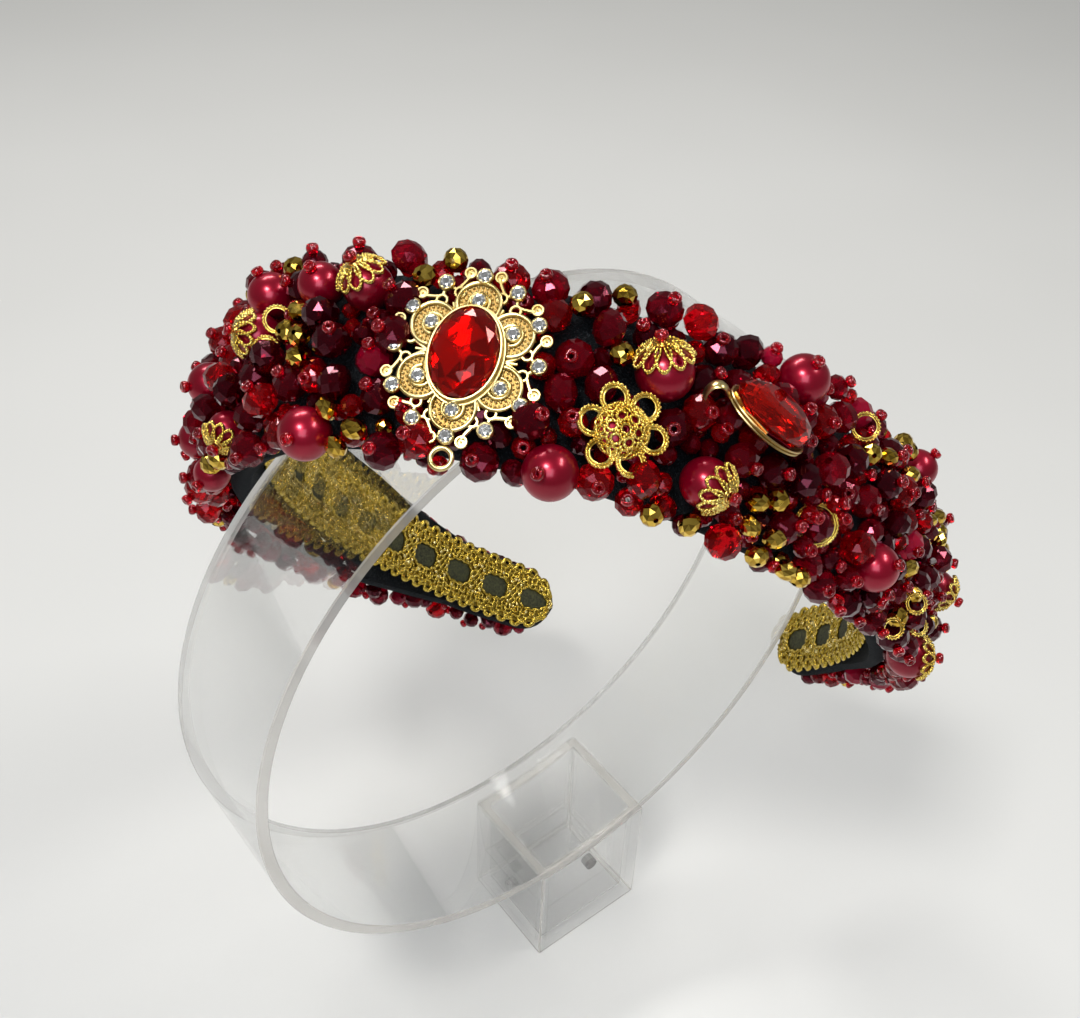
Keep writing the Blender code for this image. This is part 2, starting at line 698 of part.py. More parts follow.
def make_flower():
    """The filigree flower: a domed boss with looped petals."""
    place = ornament_seat(FLOWER)

    def build(bm):
        bmesh.ops.create_uvsphere(bm, u_segments=12, v_segments=6, radius=FLOWER_BOSS_RADIUS)
        whole = bm.verts[:] + bm.edges[:] + bm.faces[:]
        bmesh.ops.bisect_plane(bm, geom=whole, plane_co=(0, 0, 0), plane_no=(0, 0, -1), clear_outer=True)
        bmesh.ops.scale(bm, vec=(1, 1, FLOWER_BOSS_HEIGHT / FLOWER_BOSS_RADIUS), verts=bm.verts)
        bmesh.ops.holes_fill(bm, edges=bm.edges)
    boss = add_part("flower_filigree", mesh_from("flower_filigree", build), "brass", band_seat, place)
    petals = tool_group("flower_petals")
    for k in range(FLOWER_PETALS):
        turn = Matrix.Rotation(math.tau * k / FLOWER_PETALS, 4, "Z")
        droop = Matrix.Rotation(math.radians(PETAL_DROOP), 4, "Y")
        loop = wire_loop(f"petal_{k}", PETAL_RADIUS, PETAL_WIRE, 9, (PETAL_REACH, 0, 0.5 * MM), 0)
        add_tool(f"petal_{k}", loop, petals, band_seat, place @ turn @ droop)
    combine(boss, petals, "UNION")


def ornaments():
    """Each raised ornament as the frame of its disc and the disc's half sizes."""
    return (
        (ornament_seat(MEDALLION), MEDALLION_DISC),
        (ornament_seat(PENDANT), PENDANT_DISC),
        (ornament_seat(FLOWER), FLOWER_DISC),
    )


def is_clear(centre, radius):
    """True where a bead would touch no pearl, cap or raised ornament."""
    capped = {row["pearl"] for row in CAPS}
    for number, row in enumerate(PEARLS, 1):
        shell = CAP_WALL + GAP if number in capped else 0.0
        if (pearl_frame(row).translation - centre).length < row["size"] / 2 + shell + radius + GAP:
            return False
    for place, half in ornaments():
        local = place.inverted() @ centre
        reach = math.hypot(local.x / (half.x + radius), local.y / (half.y + radius))
        if reach < 1 and local.z > -radius - GAP:
            return False
    return True


def crystal_places():
    """Frames of the large crystals, in staggered rows round the band."""
    dice = random.Random(CRYSTAL_SEED)
    places = []
    along = -FIELD_END + 4.0
    column = 0
    while along < FIELD_END - 3:
        rows = (NARROW_ROWS if abs(along) > NARROW_FROM else CRYSTAL_ROWS)[column % 2]
        for around in rows:
            spot = along + dice.uniform(-1.5, 1.5)
            place = seat(spot, around + dice.uniform(-4, 4), CRYSTAL_LIFT)
            lean = [dice.uniform(-CRYSTAL_TILT, CRYSTAL_TILT) for _ in range(2)]
            tilt = Euler((*lean, dice.uniform(0, 1)))
            if abs(spot - FIELD_SPLIT) > SPLIT_MARGIN and is_clear(place.translation, CRYSTAL_RADIUS):
                places.append((spot, place @ tilt.to_matrix().to_4x4()))
        turn = math.radians(along)
        speed = math.hypot(
            (ARCH_HALF_WIDTH + VELVET_EDGE) * math.cos(turn), (ARCH_HALF_HEIGHT + VELVET_EDGE) * math.sin(turn)
        )
        step = NARROW_STEP if abs(along) > NARROW_FROM else CRYSTAL_STEP
        along += step * math.degrees(CRYSTAL_SPACING / 2 / speed)
        column += 1
    return places


def crystal_mesh(name):
    """The upper half of a faceted bead, rooted in the bed: its table and a ring of facets."""
    half = Vector((CRYSTAL_RADIUS, CRYSTAL_RADIUS))
    depth = CRYSTAL_RADIUS * CRYSTAL_DEPTH
    rings = (
        oval(half, CRYSTAL_SIDES, -CRYSTAL_ROOT),
        oval(half, CRYSTAL_SIDES, depth, CRYSTAL_TABLE),
    )
    return loft(name, rings)


def field_mesh(name, first, last):
    """The bed that the beads are sewn on, from one place along the arch to another."""
    marks = [along for along, _ in stations(VELVET_TIP) if first < along < last]
    rings = []
    for along in [first, *marks, last]:
        top = FIELD_LIFT + FIELD_THICKNESS
        ring = [seat(along, around, FIELD_LIFT).translation for around in ROUND_STATIONS]
        ring += [seat(along, around, top).translation for around in reversed(ROUND_STATIONS)]
        rings.append(ring)
    return loft(name, rings)


def make_fields():
    """The two halves of the bead field, which meet under the medallion."""
    crystal = crystal_mesh("crystal")
    places = crystal_places()
    halves = (
        ("bead_field_left", -FIELD_END, FIELD_SPLIT - FIELD_SPLIT_GAP),
        ("bead_field_right", FIELD_SPLIT, FIELD_END),
    )
    sockets = tool_group("pearl_sockets")
    for number, row in enumerate(PEARLS, 1):
        radius = row["size"] / 2 + SOCKET_GAP
        socket = rod_mesh(f"socket_{number}", radius, 4 * radius, SOCKET_SIDES)
        add_tool(f"socket_{number}", socket, sockets, band_seat, pearl_frame(row))
    for name, first, last in halves:
        field = add_part(name, field_mesh(name, first, last), "crystal", band_seat, smooth=25)
        combine(field, sockets, "DIFFERENCE")
        stones = tool_group(name + "_crystals")
        for number, (along, place) in enumerate(places):
            if first < along < last:
                add_tool(f"{name}_crystal_{number}", crystal, stones, band_seat, place)
        combine(field, stones, "UNION")


make_hoop()
make_base()
make_velvet()
make_braid()
make_pearls()
make_caps()
make_medallion()
make_pendant()
make_flower()
make_fields()
bpy.context.view_layer.update()
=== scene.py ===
"""Looks of a beaded velvet headband that leans over the hoop of a clear display stand.

Everything on the headband is placed by the same three numbers as its solids: along the arch in degrees
from the crown, around the padded section in degrees from its ridge towards the front edge, and lift off
the velvet. Beads are small unit shapes, gathered into one mesh per kind.
"""
import math
import random
from collections import namedtuple
from contextlib import contextmanager

import bmesh
import bpy
import numpy as np
from mathutils import Euler, Matrix, Vector, noise


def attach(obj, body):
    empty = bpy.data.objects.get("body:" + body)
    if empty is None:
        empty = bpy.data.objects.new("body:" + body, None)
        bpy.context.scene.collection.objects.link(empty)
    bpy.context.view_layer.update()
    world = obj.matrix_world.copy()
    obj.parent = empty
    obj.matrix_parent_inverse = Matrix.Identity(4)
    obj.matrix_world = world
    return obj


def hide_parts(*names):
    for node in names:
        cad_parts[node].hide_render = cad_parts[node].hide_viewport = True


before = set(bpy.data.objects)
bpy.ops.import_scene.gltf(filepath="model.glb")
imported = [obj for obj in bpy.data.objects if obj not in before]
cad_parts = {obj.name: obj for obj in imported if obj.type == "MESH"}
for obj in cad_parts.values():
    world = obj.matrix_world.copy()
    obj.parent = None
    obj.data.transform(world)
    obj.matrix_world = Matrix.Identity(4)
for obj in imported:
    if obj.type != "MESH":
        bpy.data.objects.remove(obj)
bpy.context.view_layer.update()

MM = 0.001
GAP = 0.35 * MM

HOOP_RADIUS = 75 * MM
HOOP_WALL = 2.5 * MM
HOOP_WIDTH = 31 * MM
HOOP_CENTRE_HEIGHT = 110 * MM
BASE_LOW = Vector((-7, -15.5)) * MM
BASE_HIGH = Vector((25, 12.5)) * MM
BASE_TOP = 38 * MM
BASE_HOLE_RADIUS = 1.6 * MM
# The largest face that can be part of a screw hole's wall.
HOLE_FACE_MOST = 5 * MM * MM
BASE_HOLE_HEIGHTS = {"front": 27 * MM, "side": 14 * MM}

BAND_PLACE = Vector((17.0, 4.5, 120.9)) * MM
BAND_TURN = Euler((math.radians(32.5), math.radians(-10), math.radians(-58)))
BAND = Matrix.Translation(BAND_PLACE) @ BAND_TURN.to_matrix().to_4x4()
BAND_SPIN = np.array(BAND)[:3, :3]
ARCH_HALF_WIDTH = 60.5 * MM
ARCH_HALF_HEIGHT = 87 * MM
BRAID_HALF_WIDTH = 8.3 * MM
BRAID_THICKNESS = 1.5 * MM
BRAID_TIP = 148.5
VELVET_INNER = BRAID_THICKNESS + GAP
VELVET_EDGE = 3.5 * MM
VELVET_TIP = 149.5
TIP_ROUNDING = 7.5
FIELD_END = 145

SECTION_ALONG = (0, 60, 100, 125, 150)
SECTION_WIDTH = (16.5 * MM, 16.5 * MM, 14.5 * MM, 9.4 * MM, 8.7 * MM)
SECTION_RISE = (5.5 * MM, 5.5 * MM, 4.2 * MM, 2.8 * MM, 2.3 * MM)

Pearl = namedtuple("Pearl", "along around size")
Cap = namedtuple("Cap", "pearl lean_along lean_across")
Ring = namedtuple("Ring", "along around lift size")
Ornament = namedtuple("Ornament", "along around lift turn lean")
Bead = namedtuple("Bead", "along around lift radius kind")

PEARL_LIFT = 1.2 * MM
# The pearls, in the order of their nodes' numbers. A cap names its pearl by that number.
PEARLS = [Pearl(along, around, size * MM) for along, around, size in (
    (-24, -31, 8.0), (-14, -30, 7.5), (-6.3, -26, 8.0), (-23, -5, 7.5), (-38, 8, 8.0), (-46, 31, 7.5),
    (-28.5, 45, 6.5), (-10.7, 55, 8.5), (-38, 66, 6.5), (19, 56, 8.5), (28, -9, 9.0), (45.5, -41, 8.5),
    (35.5, 35, 8.0), (63, 33, 8.5), (76, -60, 7.5), (87, 60, 8.5), (-60, -34, 8.0), (-74, 20, 8.0),
    (-108, 26, 7.0), (98, -12, 8.0), (114, 34, 7.0),
)]
CAP_WALL = 0.5 * MM
CAP_REACH = 58
CAPS = [Cap(*row) for row in (
    (3, -8, -16), (4, -12, 12), (11, -30, -45), (13, 34, 16), (7, 10, 52), (16, 15, -35), (20, 10, 25),
)]
MEDALLION = Ornament(7.5, 6.5, 4.1 * MM, 0, 0)
MEDALLION_STONE_HALF = Vector((5, 7)) * MM
MEDALLION_STONE_HEIGHT = 3.0 * MM
MEDALLION_PLATE = 0.8 * MM
BEZEL_HEIGHT = 1.7 * MM
LACE_OVAL = 1.4 * MM
PENDANT = Ornament(39.4, -1.0, 6.8 * MM, -12, -36)
PENDANT_STONE_HALF = Vector((7, 5)) * MM
PENDANT_STONE_HEIGHT = 3.8 * MM
PENDANT_FLOOR = 0.9 * MM
FLOWER = Ornament(25, 24.5, 4.8 * MM, 0, 0)

# Crystals that the eye finds first: place along, place around, kind of glass.
CHARTED_CRYSTALS = (
    (-8.5, -9, "red"), (-3.5, -16, "garnet"), (-12, 23, "red"), (-8, 26, "garnet"), (-4, 24, "garnet"),
    (-1.5, 44, "garnet"), (-18.5, 32, "red"), (-31, -2, "red"), (3, -43, "garnet"), (8, -47, "red"),
    (16, -41, "garnet"), (18, -27, "raspberry"), (21, -14, "garnet"), (18, 6, "garnet"), (17, 25, "garnet"),
    (11, 51, "garnet"), (31, -38, "red"), (40, -51, "garnet"), (40, -35, "red"), (26.5, 48, "bronzed"),
    (31, 38, "garnet"), (30.5, 18, "garnet"), (43, 22, "garnet"), (39, 52, "red"), (51.7, 30.4, "garnet"),
    (76, 45, "pearl"), (54, -37, "garnet"), (55, 9, "garnet"), (66, 2, "garnet"), (57, 52, "garnet"),
)
# Clusters of small gold beads: place along, place around, how many.
CHARTED_GOLD = (
    (-24, -49, 3), (-15, -5, 4), (-7, 44, 3), (-1, -50, 3), (20, -43, 3), (24, -12, 2), (33, 52, 3),
    (44, 44, 5), (51, 62, 4), (61, -21, 2), (-52, -10, 3), (-66, 48, 3), (-80, -40, 4), (-92, 12, 3),
    (-104, 44, 3), (-122, -8, 3), (74, 26, 3), (88, -36, 4), (92, 44, 3), (106, 8, 3), (124, -20, 3),
    (-40, -62, 3), (70, -58, 3), (-134, 40, 2), (134, 36, 2), (-70, -66, 3), (-30, 66, 3),
)
# Open rings of wire edged with grains, round beads or on them.
COLLARS = [Ring(along, around, lift * MM, size * MM) for along, around, lift, size in (
    (51.7, 30.4, 3.6, 6.9), (-19.6, -11.5, 5.2, 4.4), (-20.2, 4.9, 5.0, 4.2), (56.4, -36.3, 5.6, 4.6),
    (72.9, 57.4, 6.4, 3.6), (74.9, 34.7, 7.0, 3.6), (79.5, 44.0, 6.8, 3.2),
)]
CRYSTAL_RADIUS = 3.1 * MM
CRYSTAL_LIFT = 3.5 * MM
CRYSTAL_HEIGHT = 0.80
GOLD_RADIUS = 2.0 * MM
GOLD_SPREAD = 2.2 * MM
SEED_RADIUS = 1.1 * MM
# How far round the section the beads' centres go, along the arch: towards the front and the back edge.
EDGE_ALONG = (-150, -125, -100, -60, -40, -25, -10, 30, 45, 60, 100, 125, 150)
EDGE_FRONT = (47, 53, 60, 62, 62, 62, 62, 62, 62, 62, 60, 53, 47)
EDGE_BACK = (-46, -52, -56, -57, -57, -52, -46, -46, -52, -58, -56, -52, -46)
# Degrees further round for each millimetre that a bead's radius is less than a crystal's.
EDGE_SPARE = 4 / MM
BEAD_SEED = 7
EYE = Vector((-0.12261, -0.15197, 0.31716))

dice = random.Random(BEAD_SEED)


# Materials

BY_BEAD = "a chance value for each loose bead"


def noise_factor(tree, scale, detail, distortion=0.0):
    """A noise in the object's own space."""
    where = tree.nodes.new("ShaderNodeTexCoord")
    texture = tree.nodes.new("ShaderNodeTexNoise")
    for socket, value in (("Scale", scale), ("Detail", detail), ("Distortion", distortion)):
        texture.inputs[socket].default_value = value
    tree.links.new(where.outputs["Object"], texture.inputs["Vector"])
    return texture.outputs["Fac"]


def make_material(name, tone, stops, sockets, rough=None, bump=None):
    """A principled material. Its tone, a noise or BY_BEAD, drives the colour stops and the roughness.

    rough is the range of roughness, sockets holds the shader's constants, and bump is a noise with its depth.
    """
    made = bpy.data.materials.new(name)
    made.use_nodes = True
    tree = made.node_tree
    shader = tree.nodes["Principled BSDF"]
    for socket, value in sockets.items():
        shader.inputs[socket].default_value = value
    if tone == BY_BEAD:
        factor = tree.nodes.new("ShaderNodeNewGeometry").outputs["Random Per Island"]
    else:
        factor = noise_factor(tree, *tone)
    if stops:
        ramp = tree.nodes.new("ShaderNodeValToRGB")
        elements = ramp.color_ramp.elements
        while len(elements) < len(stops):
            elements.new(0.5)
        for element, (place, colour) in zip(elements, stops):
            element.position = place
            element.color = (*colour, 1.0)
        tree.links.new(factor, ramp.inputs["Fac"])
        tree.links.new(ramp.outputs["Color"], shader.inputs["Base Color"])
    if rough:
        span = tree.nodes.new("ShaderNodeMapRange")
        span.inputs["To Min"].default_value, span.inputs["To Max"].default_value = rough
        tree.links.new(factor, span.inputs["Value"])
        tree.links.new(span.outputs["Result"], shader.inputs["Roughness"])
    if bump:
        texture, depth = bump
        relief = tree.nodes.new("ShaderNodeBump")
        relief.inputs["Strength"].default_value = 1.0
        relief.inputs["Distance"].default_value = depth
        tree.links.new(noise_factor(tree, *texture), relief.inputs["Height"])
        tree.links.new(relief.outputs["Normal"], shader.inputs["Normal"])
    return made


def glass(name, stops, transmission, ior, coat, tint, roughness=0.04, spread=0.0):
    """Coloured cut glass whose tone differs from bead to bead."""
    return make_material(name, BY_BEAD, stops, {
        "Roughness": roughness, "IOR": ior, "Transmission Weight": transmission,
        "Specular Tint": (*tint, 1.0), "Coat Weight": coat, "Coat Roughness": 0.03,
        "Subsurface Weight": spread, "Subsurface Radius": (0.004, 0.0008, 0.0008), "Subsurface Scale": 0.5,
    }, bump=((900, 2.0), 0.004 * MM))


def metal(name, low, high, roughness, places=(0.3, 0.7), bump=((900, 4.0), 0.002 * MM)):
    """Plated metal whose tone and polish vary softly."""
    stops = tuple(zip(places, (low, high)))
    return make_material(name, (240, 3.0), stops, {"Metallic": 1.0}, (roughness * 0.6, roughness * 1.5), bump)


def thread(name, stops, roughness, metallic):
    """Metallised thread: fine windings across it."""
    sockets = {"Metallic": metallic, "Roughness": roughness}
    return make_material(name, (1800, 5.0), stops, sockets, bump=((2600, 4.0), 0.12 * MM))


def acrylic(name, colour, alpha, roughness, transmission=1.0, ior=1.49):
    """Clear acrylic with faint wipe marks."""
    return make_material(name, (45, 6.0), (), {
        "Base Color": (*colour, 1.0), "IOR": ior, "Transmission Weight": transmission, "Alpha": alpha,
    }, (roughness * 0.3, roughness))


def rhinestone(name, low, high):
    """Clear cut crystal over foil."""
    return make_material(name, (1400, 3.0), ((0.35, (low, low, low * 0.97)), (0.65, (high, high, high))), {
        "Metallic": 0.75, "Roughness": 0.05, "Coat Weight": 1.0, "Coat Roughness": 0.02,
    })


VELVET_PILE = (2600, 4.0, 1.2)
MATERIALS = {
    # glass beads and stones
    "garnet": glass("garnet_glass", (
        (0.0, (0.045, 0.0002, 0.003)), (0.5, (0.115, 0.0004, 0.005)), (1.0, (0.28, 0.0010, 0.009)),
    ), 0.78, 1.50, 0.12, (1.0, 0.14, 0.26)),
    "red": glass("clear_red_glass", (
        (0.0, (0.46, 0.0008, 0.004)), (1.0, (0.74, 0.003, 0.009)),
    ), 0.90, 1.50, 0.12, (1.0, 0.25, 0.30)),
    "raspberry": glass("raspberry_opaline_glass", (
        (0.0, (0.22, 0.0012, 0.014)), (1.0, (0.42, 0.007, 0.036)),
    ), 0.40, 1.50, 0.25, (1.0, 0.30, 0.45), spread=0.25),
    "seed": glass("red_seed_glass", (
        (0.0, (0.44, 0.0008, 0.006)), (1.0, (0.66, 0.002, 0.014)),
    ), 0.85, 1.50, 0.6, (1.0, 0.30, 0.40)),
    "stone": glass("red_cut_stone", (
        (0.0, (0.80, 0.010, 0.005)), (1.0, (0.86, 0.014, 0.007)),
    ), 0.95, 1.55, 0.2, (1.0, 0.22, 0.18), roughness=0.01),
    "rhinestone": rhinestone("rhinestone", 0.92, 1.0),
    # a darker copy of the rhinestone for every other facet: painted shade
    "rhinestone_painted_shade": rhinestone("rhinestone_painted_shade", 0.32, 0.55),
    # coatings that mirror, on glass or as foil
    "bronzed": metal("bronzed_glass", (0.30, 0.04, 0.03), (0.50, 0.16, 0.07), 0.08, (0.35, 0.65)),
    "gold_bead": metal("bronze_gold_glass", (0.55, 0.33, 0.03), (0.92, 0.64, 0.13), 0.08),
    # a darker copy of the gold glass for some facets: painted shade, standing in for dark surroundings
    # mirrored in them
    "gold_bead_painted_shade": metal("bronze_gold_glass_painted_shade", (0.30, 0.17, 0.018), (0.50, 0.31, 0.05), 0.08),
    # the foil in a lit copy and a darker copy; the darker one is painted shade
    "foil": metal("red_foil", (0.95, 0.45, 0.20), (1.0, 0.80, 0.35), 0.12),
    "foil_painted_shade": metal("red_foil_painted_shade", (0.08, 0.004, 0.012), (0.20, 0.01, 0.02), 0.18),
    # plated wire and plate
    "filigree": metal("dark_gold_filigree", (0.60, 0.40, 0.06), (0.94, 0.74, 0.22), 0.22),
    "pale_gold": metal(
        "pale_gold_plate", (0.64, 0.48, 0.18), (0.78, 0.64, 0.31), 0.28, bump=((600, 4.0), 0.001 * MM)),
    # darker gold for the floors between and under the wires: painted shade
    "gold_floor_painted_shade": metal("shaded_gold_floor", (0.30, 0.18, 0.05), (0.44, 0.29, 0.10), 0.42),
    # a metallic raspberry body under a clear gloss
    "pearl": make_material("raspberry_pearl", (120, 2.0), (
        (0.3, (0.20, 0.0003, 0.010)), (0.7, (0.29, 0.0005, 0.017)),
    ), {
        "Metallic": 0.60, "Roughness": 0.32, "Specular Tint": (1.0, 0.30, 0.46, 1.0),
        "Coat Weight": 0.55, "Coat Roughness": 0.18,
    }, bump=((1500, 4.0), 0.003 * MM)),
    # short black pile with pale fibre ends
    "velvet": make_material("black_velvet", VELVET_PILE, (
        (0.42, (0.0015, 0.002, 0.0025)), (0.62, (0.006, 0.0075, 0.009)), (0.74, (0.05, 0.058, 0.062)),
    ), {
        "Roughness": 0.95, "Specular IOR Level": 0.1, "Sheen Weight": 0.09, "Sheen Roughness": 0.4,
        "Sheen Tint": (0.5, 0.55, 0.6, 1.0),
    }, bump=(VELVET_PILE, 0.35 * MM)),
    # the braid
    "braid": thread("braid_thread", (
        (0.3, (0.30, 0.19, 0.016)), (0.5, (0.60, 0.42, 0.05)), (0.7, (0.92, 0.72, 0.20)),
    ), 0.27, 0.95),
    "braid_ground": thread(
        "braid_ground", ((0.3, (0.16, 0.11, 0.015)), (0.7, (0.40, 0.29, 0.045))), 0.5, 0.85),
    "ribbon": thread("dark_ribbon", ((0.3, (0.010, 0.012, 0.005)), (0.7, (0.070, 0.070, 0.022))), 0.8, 0.0),
    "knot": thread("braid_knot", ((0.3, (0.70, 0.54, 0.16)), (0.7, (0.95, 0.80, 0.38))), 0.22, 1.0),
    # the stand and what it stands on
    "acrylic": acrylic("clear_acrylic", (0.97, 0.98, 0.97), 0.42, 0.012, ior=1.3),
    "thin_acrylic": acrylic("clear_acrylic_panel", (0.97, 0.98, 0.97), 0.16, 0.03),
    # milky beige edges of the acrylic: a sawn edge's frosting and partly a painted highlight
    "acrylic_edge_and_painted_highlight": acrylic("sawn_acrylic_edge_and_painted_highlight", (0.66, 0.63, 0.58), 0.80, 0.30, 0.55),
    # dark walls of the screw holes: painted shade
    "acrylic_hole_painted_shade": acrylic("drilled_acrylic_painted_shade", (0.20, 0.19, 0.18), 0.85, 0.30, 0.2),
    "floor": make_material("pale_floor", (3.0, 3.0), (
        (0.3, (0.60, 0.595, 0.575)), (0.7, (0.645, 0.64, 0.62)),
    ), {"Roughness": 0.55}),
}


# Shapes: each is (points, faces), as an array and a list

class Heap:
    """Points and faces of one piece, gathered shape by shape."""

    def __init__(self, *first, **how):
        self.points, self.faces, self.kinds, self.smooth = [], [], [], []
        self.count = 0
        if first:
            self.add(*first, **how)

    def add(self, shape, matrix=None, kind=0, smooth=True):
        """One more shape, in a frame."""
        points, faces = shape
        points = np.asarray(points, dtype=float)
        if matrix is not None:
            turn = np.array(matrix)
            points = points @ turn[:3, :3].T + turn[:3, 3]
        self.points.append(points)
        self.faces.extend(tuple(k + self.count for k in face) for face in faces)
        self.kinds.extend([kind] * len(faces))
        self.smooth.extend([smooth] * len(faces))
        self.count += len(points)

    def grain(self, size, place, spot=(0, 0, 0)):
        """A small ball of metal at a spot of a frame."""
        self.add(scaled(GRAIN, size), place @ Matrix.Translation(spot))


def make_piece(name, heap, kinds, replaces=()):
    """One object from a heap, riding on the only body."""
    mesh = bpy.data.meshes.new(name)
    mesh.from_pydata(np.concatenate(heap.points).tolist(), [], heap.faces)
    mesh.polygons.foreach_set("material_index", heap.kinds)
    mesh.polygons.foreach_set("use_smooth", heap.smooth)
    for kind in kinds:
        mesh.materials.append(MATERIALS[kind])
    mesh.update()
    piece = bpy.data.objects.new(name, mesh)
    bpy.context.scene.collection.objects.link(piece)
    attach(piece, "root")
    if replaces:
        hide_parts(*replaces)
    return piece


@contextmanager
def edited(piece):
    """The mesh of a piece, open for changes."""
    bm = bmesh.new()
    bm.from_mesh(piece.data)
    yield bm
    bm.to_mesh(piece.data)
    bm.free()


def fix_normals(piece):
    """Point every face outwards."""
    with edited(piece) as bm:
        bmesh.ops.recalc_face_normals(bm, faces=bm.faces)


def moved(x, y, z):
    """A shift as a matrix."""
    return Matrix.Translation((x, y, z))


def rotated(degrees, axis):
    """A turn about an axis as a matrix."""
    return Matrix.Rotation(math.radians(degrees), 4, axis)


def ring_faces(rows, columns, closed=False, flip=False, leads=None):
    """Faces between rings of points, with lids, or closed with the last ring joined to the first.
    flip turns them about. A lead other than 0 means that the next ring is turned, and triangles join it."""
    faces = []
    for row in range(rows if closed else rows - 1):
        low, high = row * columns, (row + 1) % rows * columns
        lead = leads[row] if leads else 0
        for k in range(columns):
            n = (k + 1) % columns
            if flip:
                faces.append((low + k, high + k, high + n, low + n))
            elif lead == 0:
                faces.append((low + k, low + n, high + n, high + k))
            elif lead > 0:
                faces += [(low + k, low + n, high + k), (low + n, high + n, high + k)]
            else:
                faces += [(low + k, high + n, high + k), (low + k, low + n, high + n)]
    if not closed:
        first, last = range(columns), range((rows - 1) * columns, rows * columns)
        faces += [tuple(first), tuple(reversed(last))] if flip else [tuple(reversed(first)), tuple(last)]
    return faces


def turned(sides, rows, closed=False):
    """Rings of points about Z, from rows of (radius, height, shift), bottom to top on the outside.
    Closed, the last ring joins the first through the hole."""
    points = []
    for radius, height, shift in rows:
        for k in range(sides):
            turn = math.tau * (k + shift) / sides
            points.append((radius * math.cos(turn), radius * math.sin(turn), height))
    leads = [rows[(row + 1) % len(rows)][2] - rows[row][2] for row in range(len(rows))]
    return np.array(points), ring_faces(len(rows), sides, closed, leads=leads)


def scaled(shape, *factors):
    """A copy of a shape, stretched along its axes."""
    points, faces = shape
    return points * np.array(factors if len(factors) == 3 else factors * 3), faces


def tube(path, radius, up=(0, 0, 1), sides=6, closed=False):
    """A round wire along a path. up is a direction, or one for each point, that is never along the path."""
    path = np.asarray(path, dtype=float)
    up = np.broadcast_to(np.asarray(up, dtype=float), path.shape)
    if closed:
        ahead, behind = np.roll(path, -1, axis=0), np.roll(path, 1, axis=0)
    else:
        ahead, behind = np.vstack((path[1:], path[-1:])), np.vstack((path[:1], path[:-1]))
    forward = ahead - behind
    forward /= np.linalg.norm(forward, axis=1)[:, None]
    side = np.cross(forward, up)
    side /= np.linalg.norm(side, axis=1)[:, None]
    top = np.cross(side, forward)
    turn = np.arange(sides) * math.tau / sides
    width = np.broadcast_to(np.asarray(radius, dtype=float), (len(path),))[:, None, None]
    ring = np.cos(turn)[None, :, None] * side[:, None, :] + np.sin(turn)[None, :, None] * top[:, None, :]
    points = (path[:, None, :] + width * ring).reshape(-1, 3)
    return points, ring_faces(len(path), sides, closed, flip=True)


def circle(radius, segments, centre=(0, 0, 0), stretch=1.0, start=0.0, sweep=math.tau, whole=True):
    """Points round a circle or an arc in the XY plane."""
    steps = segments if whole else segments - 1
    angles = start + np.arange(segments) * sweep / steps
    points = np.zeros((segments, 3))
    points[:, 0] = centre[0] + radius * np.cos(angles)
    points[:, 1] = centre[1] + radius * stretch * np.sin(angles)
    points[:, 2] = centre[2]
    return points


def ring_shape(radius, wire, segments=20, sides=6, centre=(0, 0, 0)):
    """A closed wire ring in the XY plane."""
    return tube(circle(radius, segments, centre), wire, sides=sides, closed=True)


def ball(sides, rows):
    """A ball of radius 1 with small flat poles."""
    lats = [math.pi * ((k + 0.35) / (rows - 0.3) - 0.5) for k in range(rows)]
    return turned(sides, [(math.cos(a), math.sin(a), 0) for a in lats])


def pearl_shape():
    """A ball of radius 1 with a small rolled-in hole at each pole."""
    rows = []
    first = 82
    for k in range(21):
        lat = math.radians(-first + 2 * first * k / 20)
        rows.append((math.cos(lat), math.sin(lat), 0))
    lip = math.cos(math.radians(first)) * 0.72
    return turned(32, rows + [(lip, 0.965, 0), (lip, -0.965, 0)], closed=True)


CRYSTAL = turned(8, (
    (0.22, -CRYSTAL_HEIGHT, 0), (0.66, -0.64, 0), (0.924, -0.30, 0.5), (1.0, 0.0, 0),
    (0.924, 0.30, 0.5), (0.66, 0.64, 0), (0.22, CRYSTAL_HEIGHT, 0),
), closed=True)
SEED = turned(10, (
    (0.50, -0.62, 0), (0.86, -0.50, 0), (1.0, -0.14, 0), (1.0, 0.14, 0),
    (0.86, 0.50, 0), (0.50, 0.62, 0), (0.36, 0.0, 0),
), closed=True)
GRAIN = ball(6, 4)
BALL = ball(10, 6)
PEARL = pearl_shape()


# Places on the band

def section(along):
    """Half width of the velvet and height of its padding."""
    reach = abs(along)
    return np.interp(reach, SECTION_ALONG, SECTION_WIDTH), np.interp(reach, SECTION_ALONG, SECTION_RISE)


def arch_axes(along):
    """Foot on the braid's inner face, way along and way out, at a place along the arch."""
    turn = math.radians(along)
    foot = Vector((ARCH_HALF_WIDTH * math.sin(turn), 0, ARCH_HALF_HEIGHT * math.cos(turn)))
    tangent = Vector((ARCH_HALF_WIDTH * math.cos(turn), 0, -ARCH_HALF_HEIGHT * math.sin(turn))).normalized()
    return foot, tangent, Vector((-tangent.z, 0, tangent.x))


def arch_point(along, out, across):
    """A point by its place along the arch, out from the braid, and across to the front edge."""
    foot, _, outward = arch_axes(along)
    return foot + outward * out - Vector((0, across, 0))


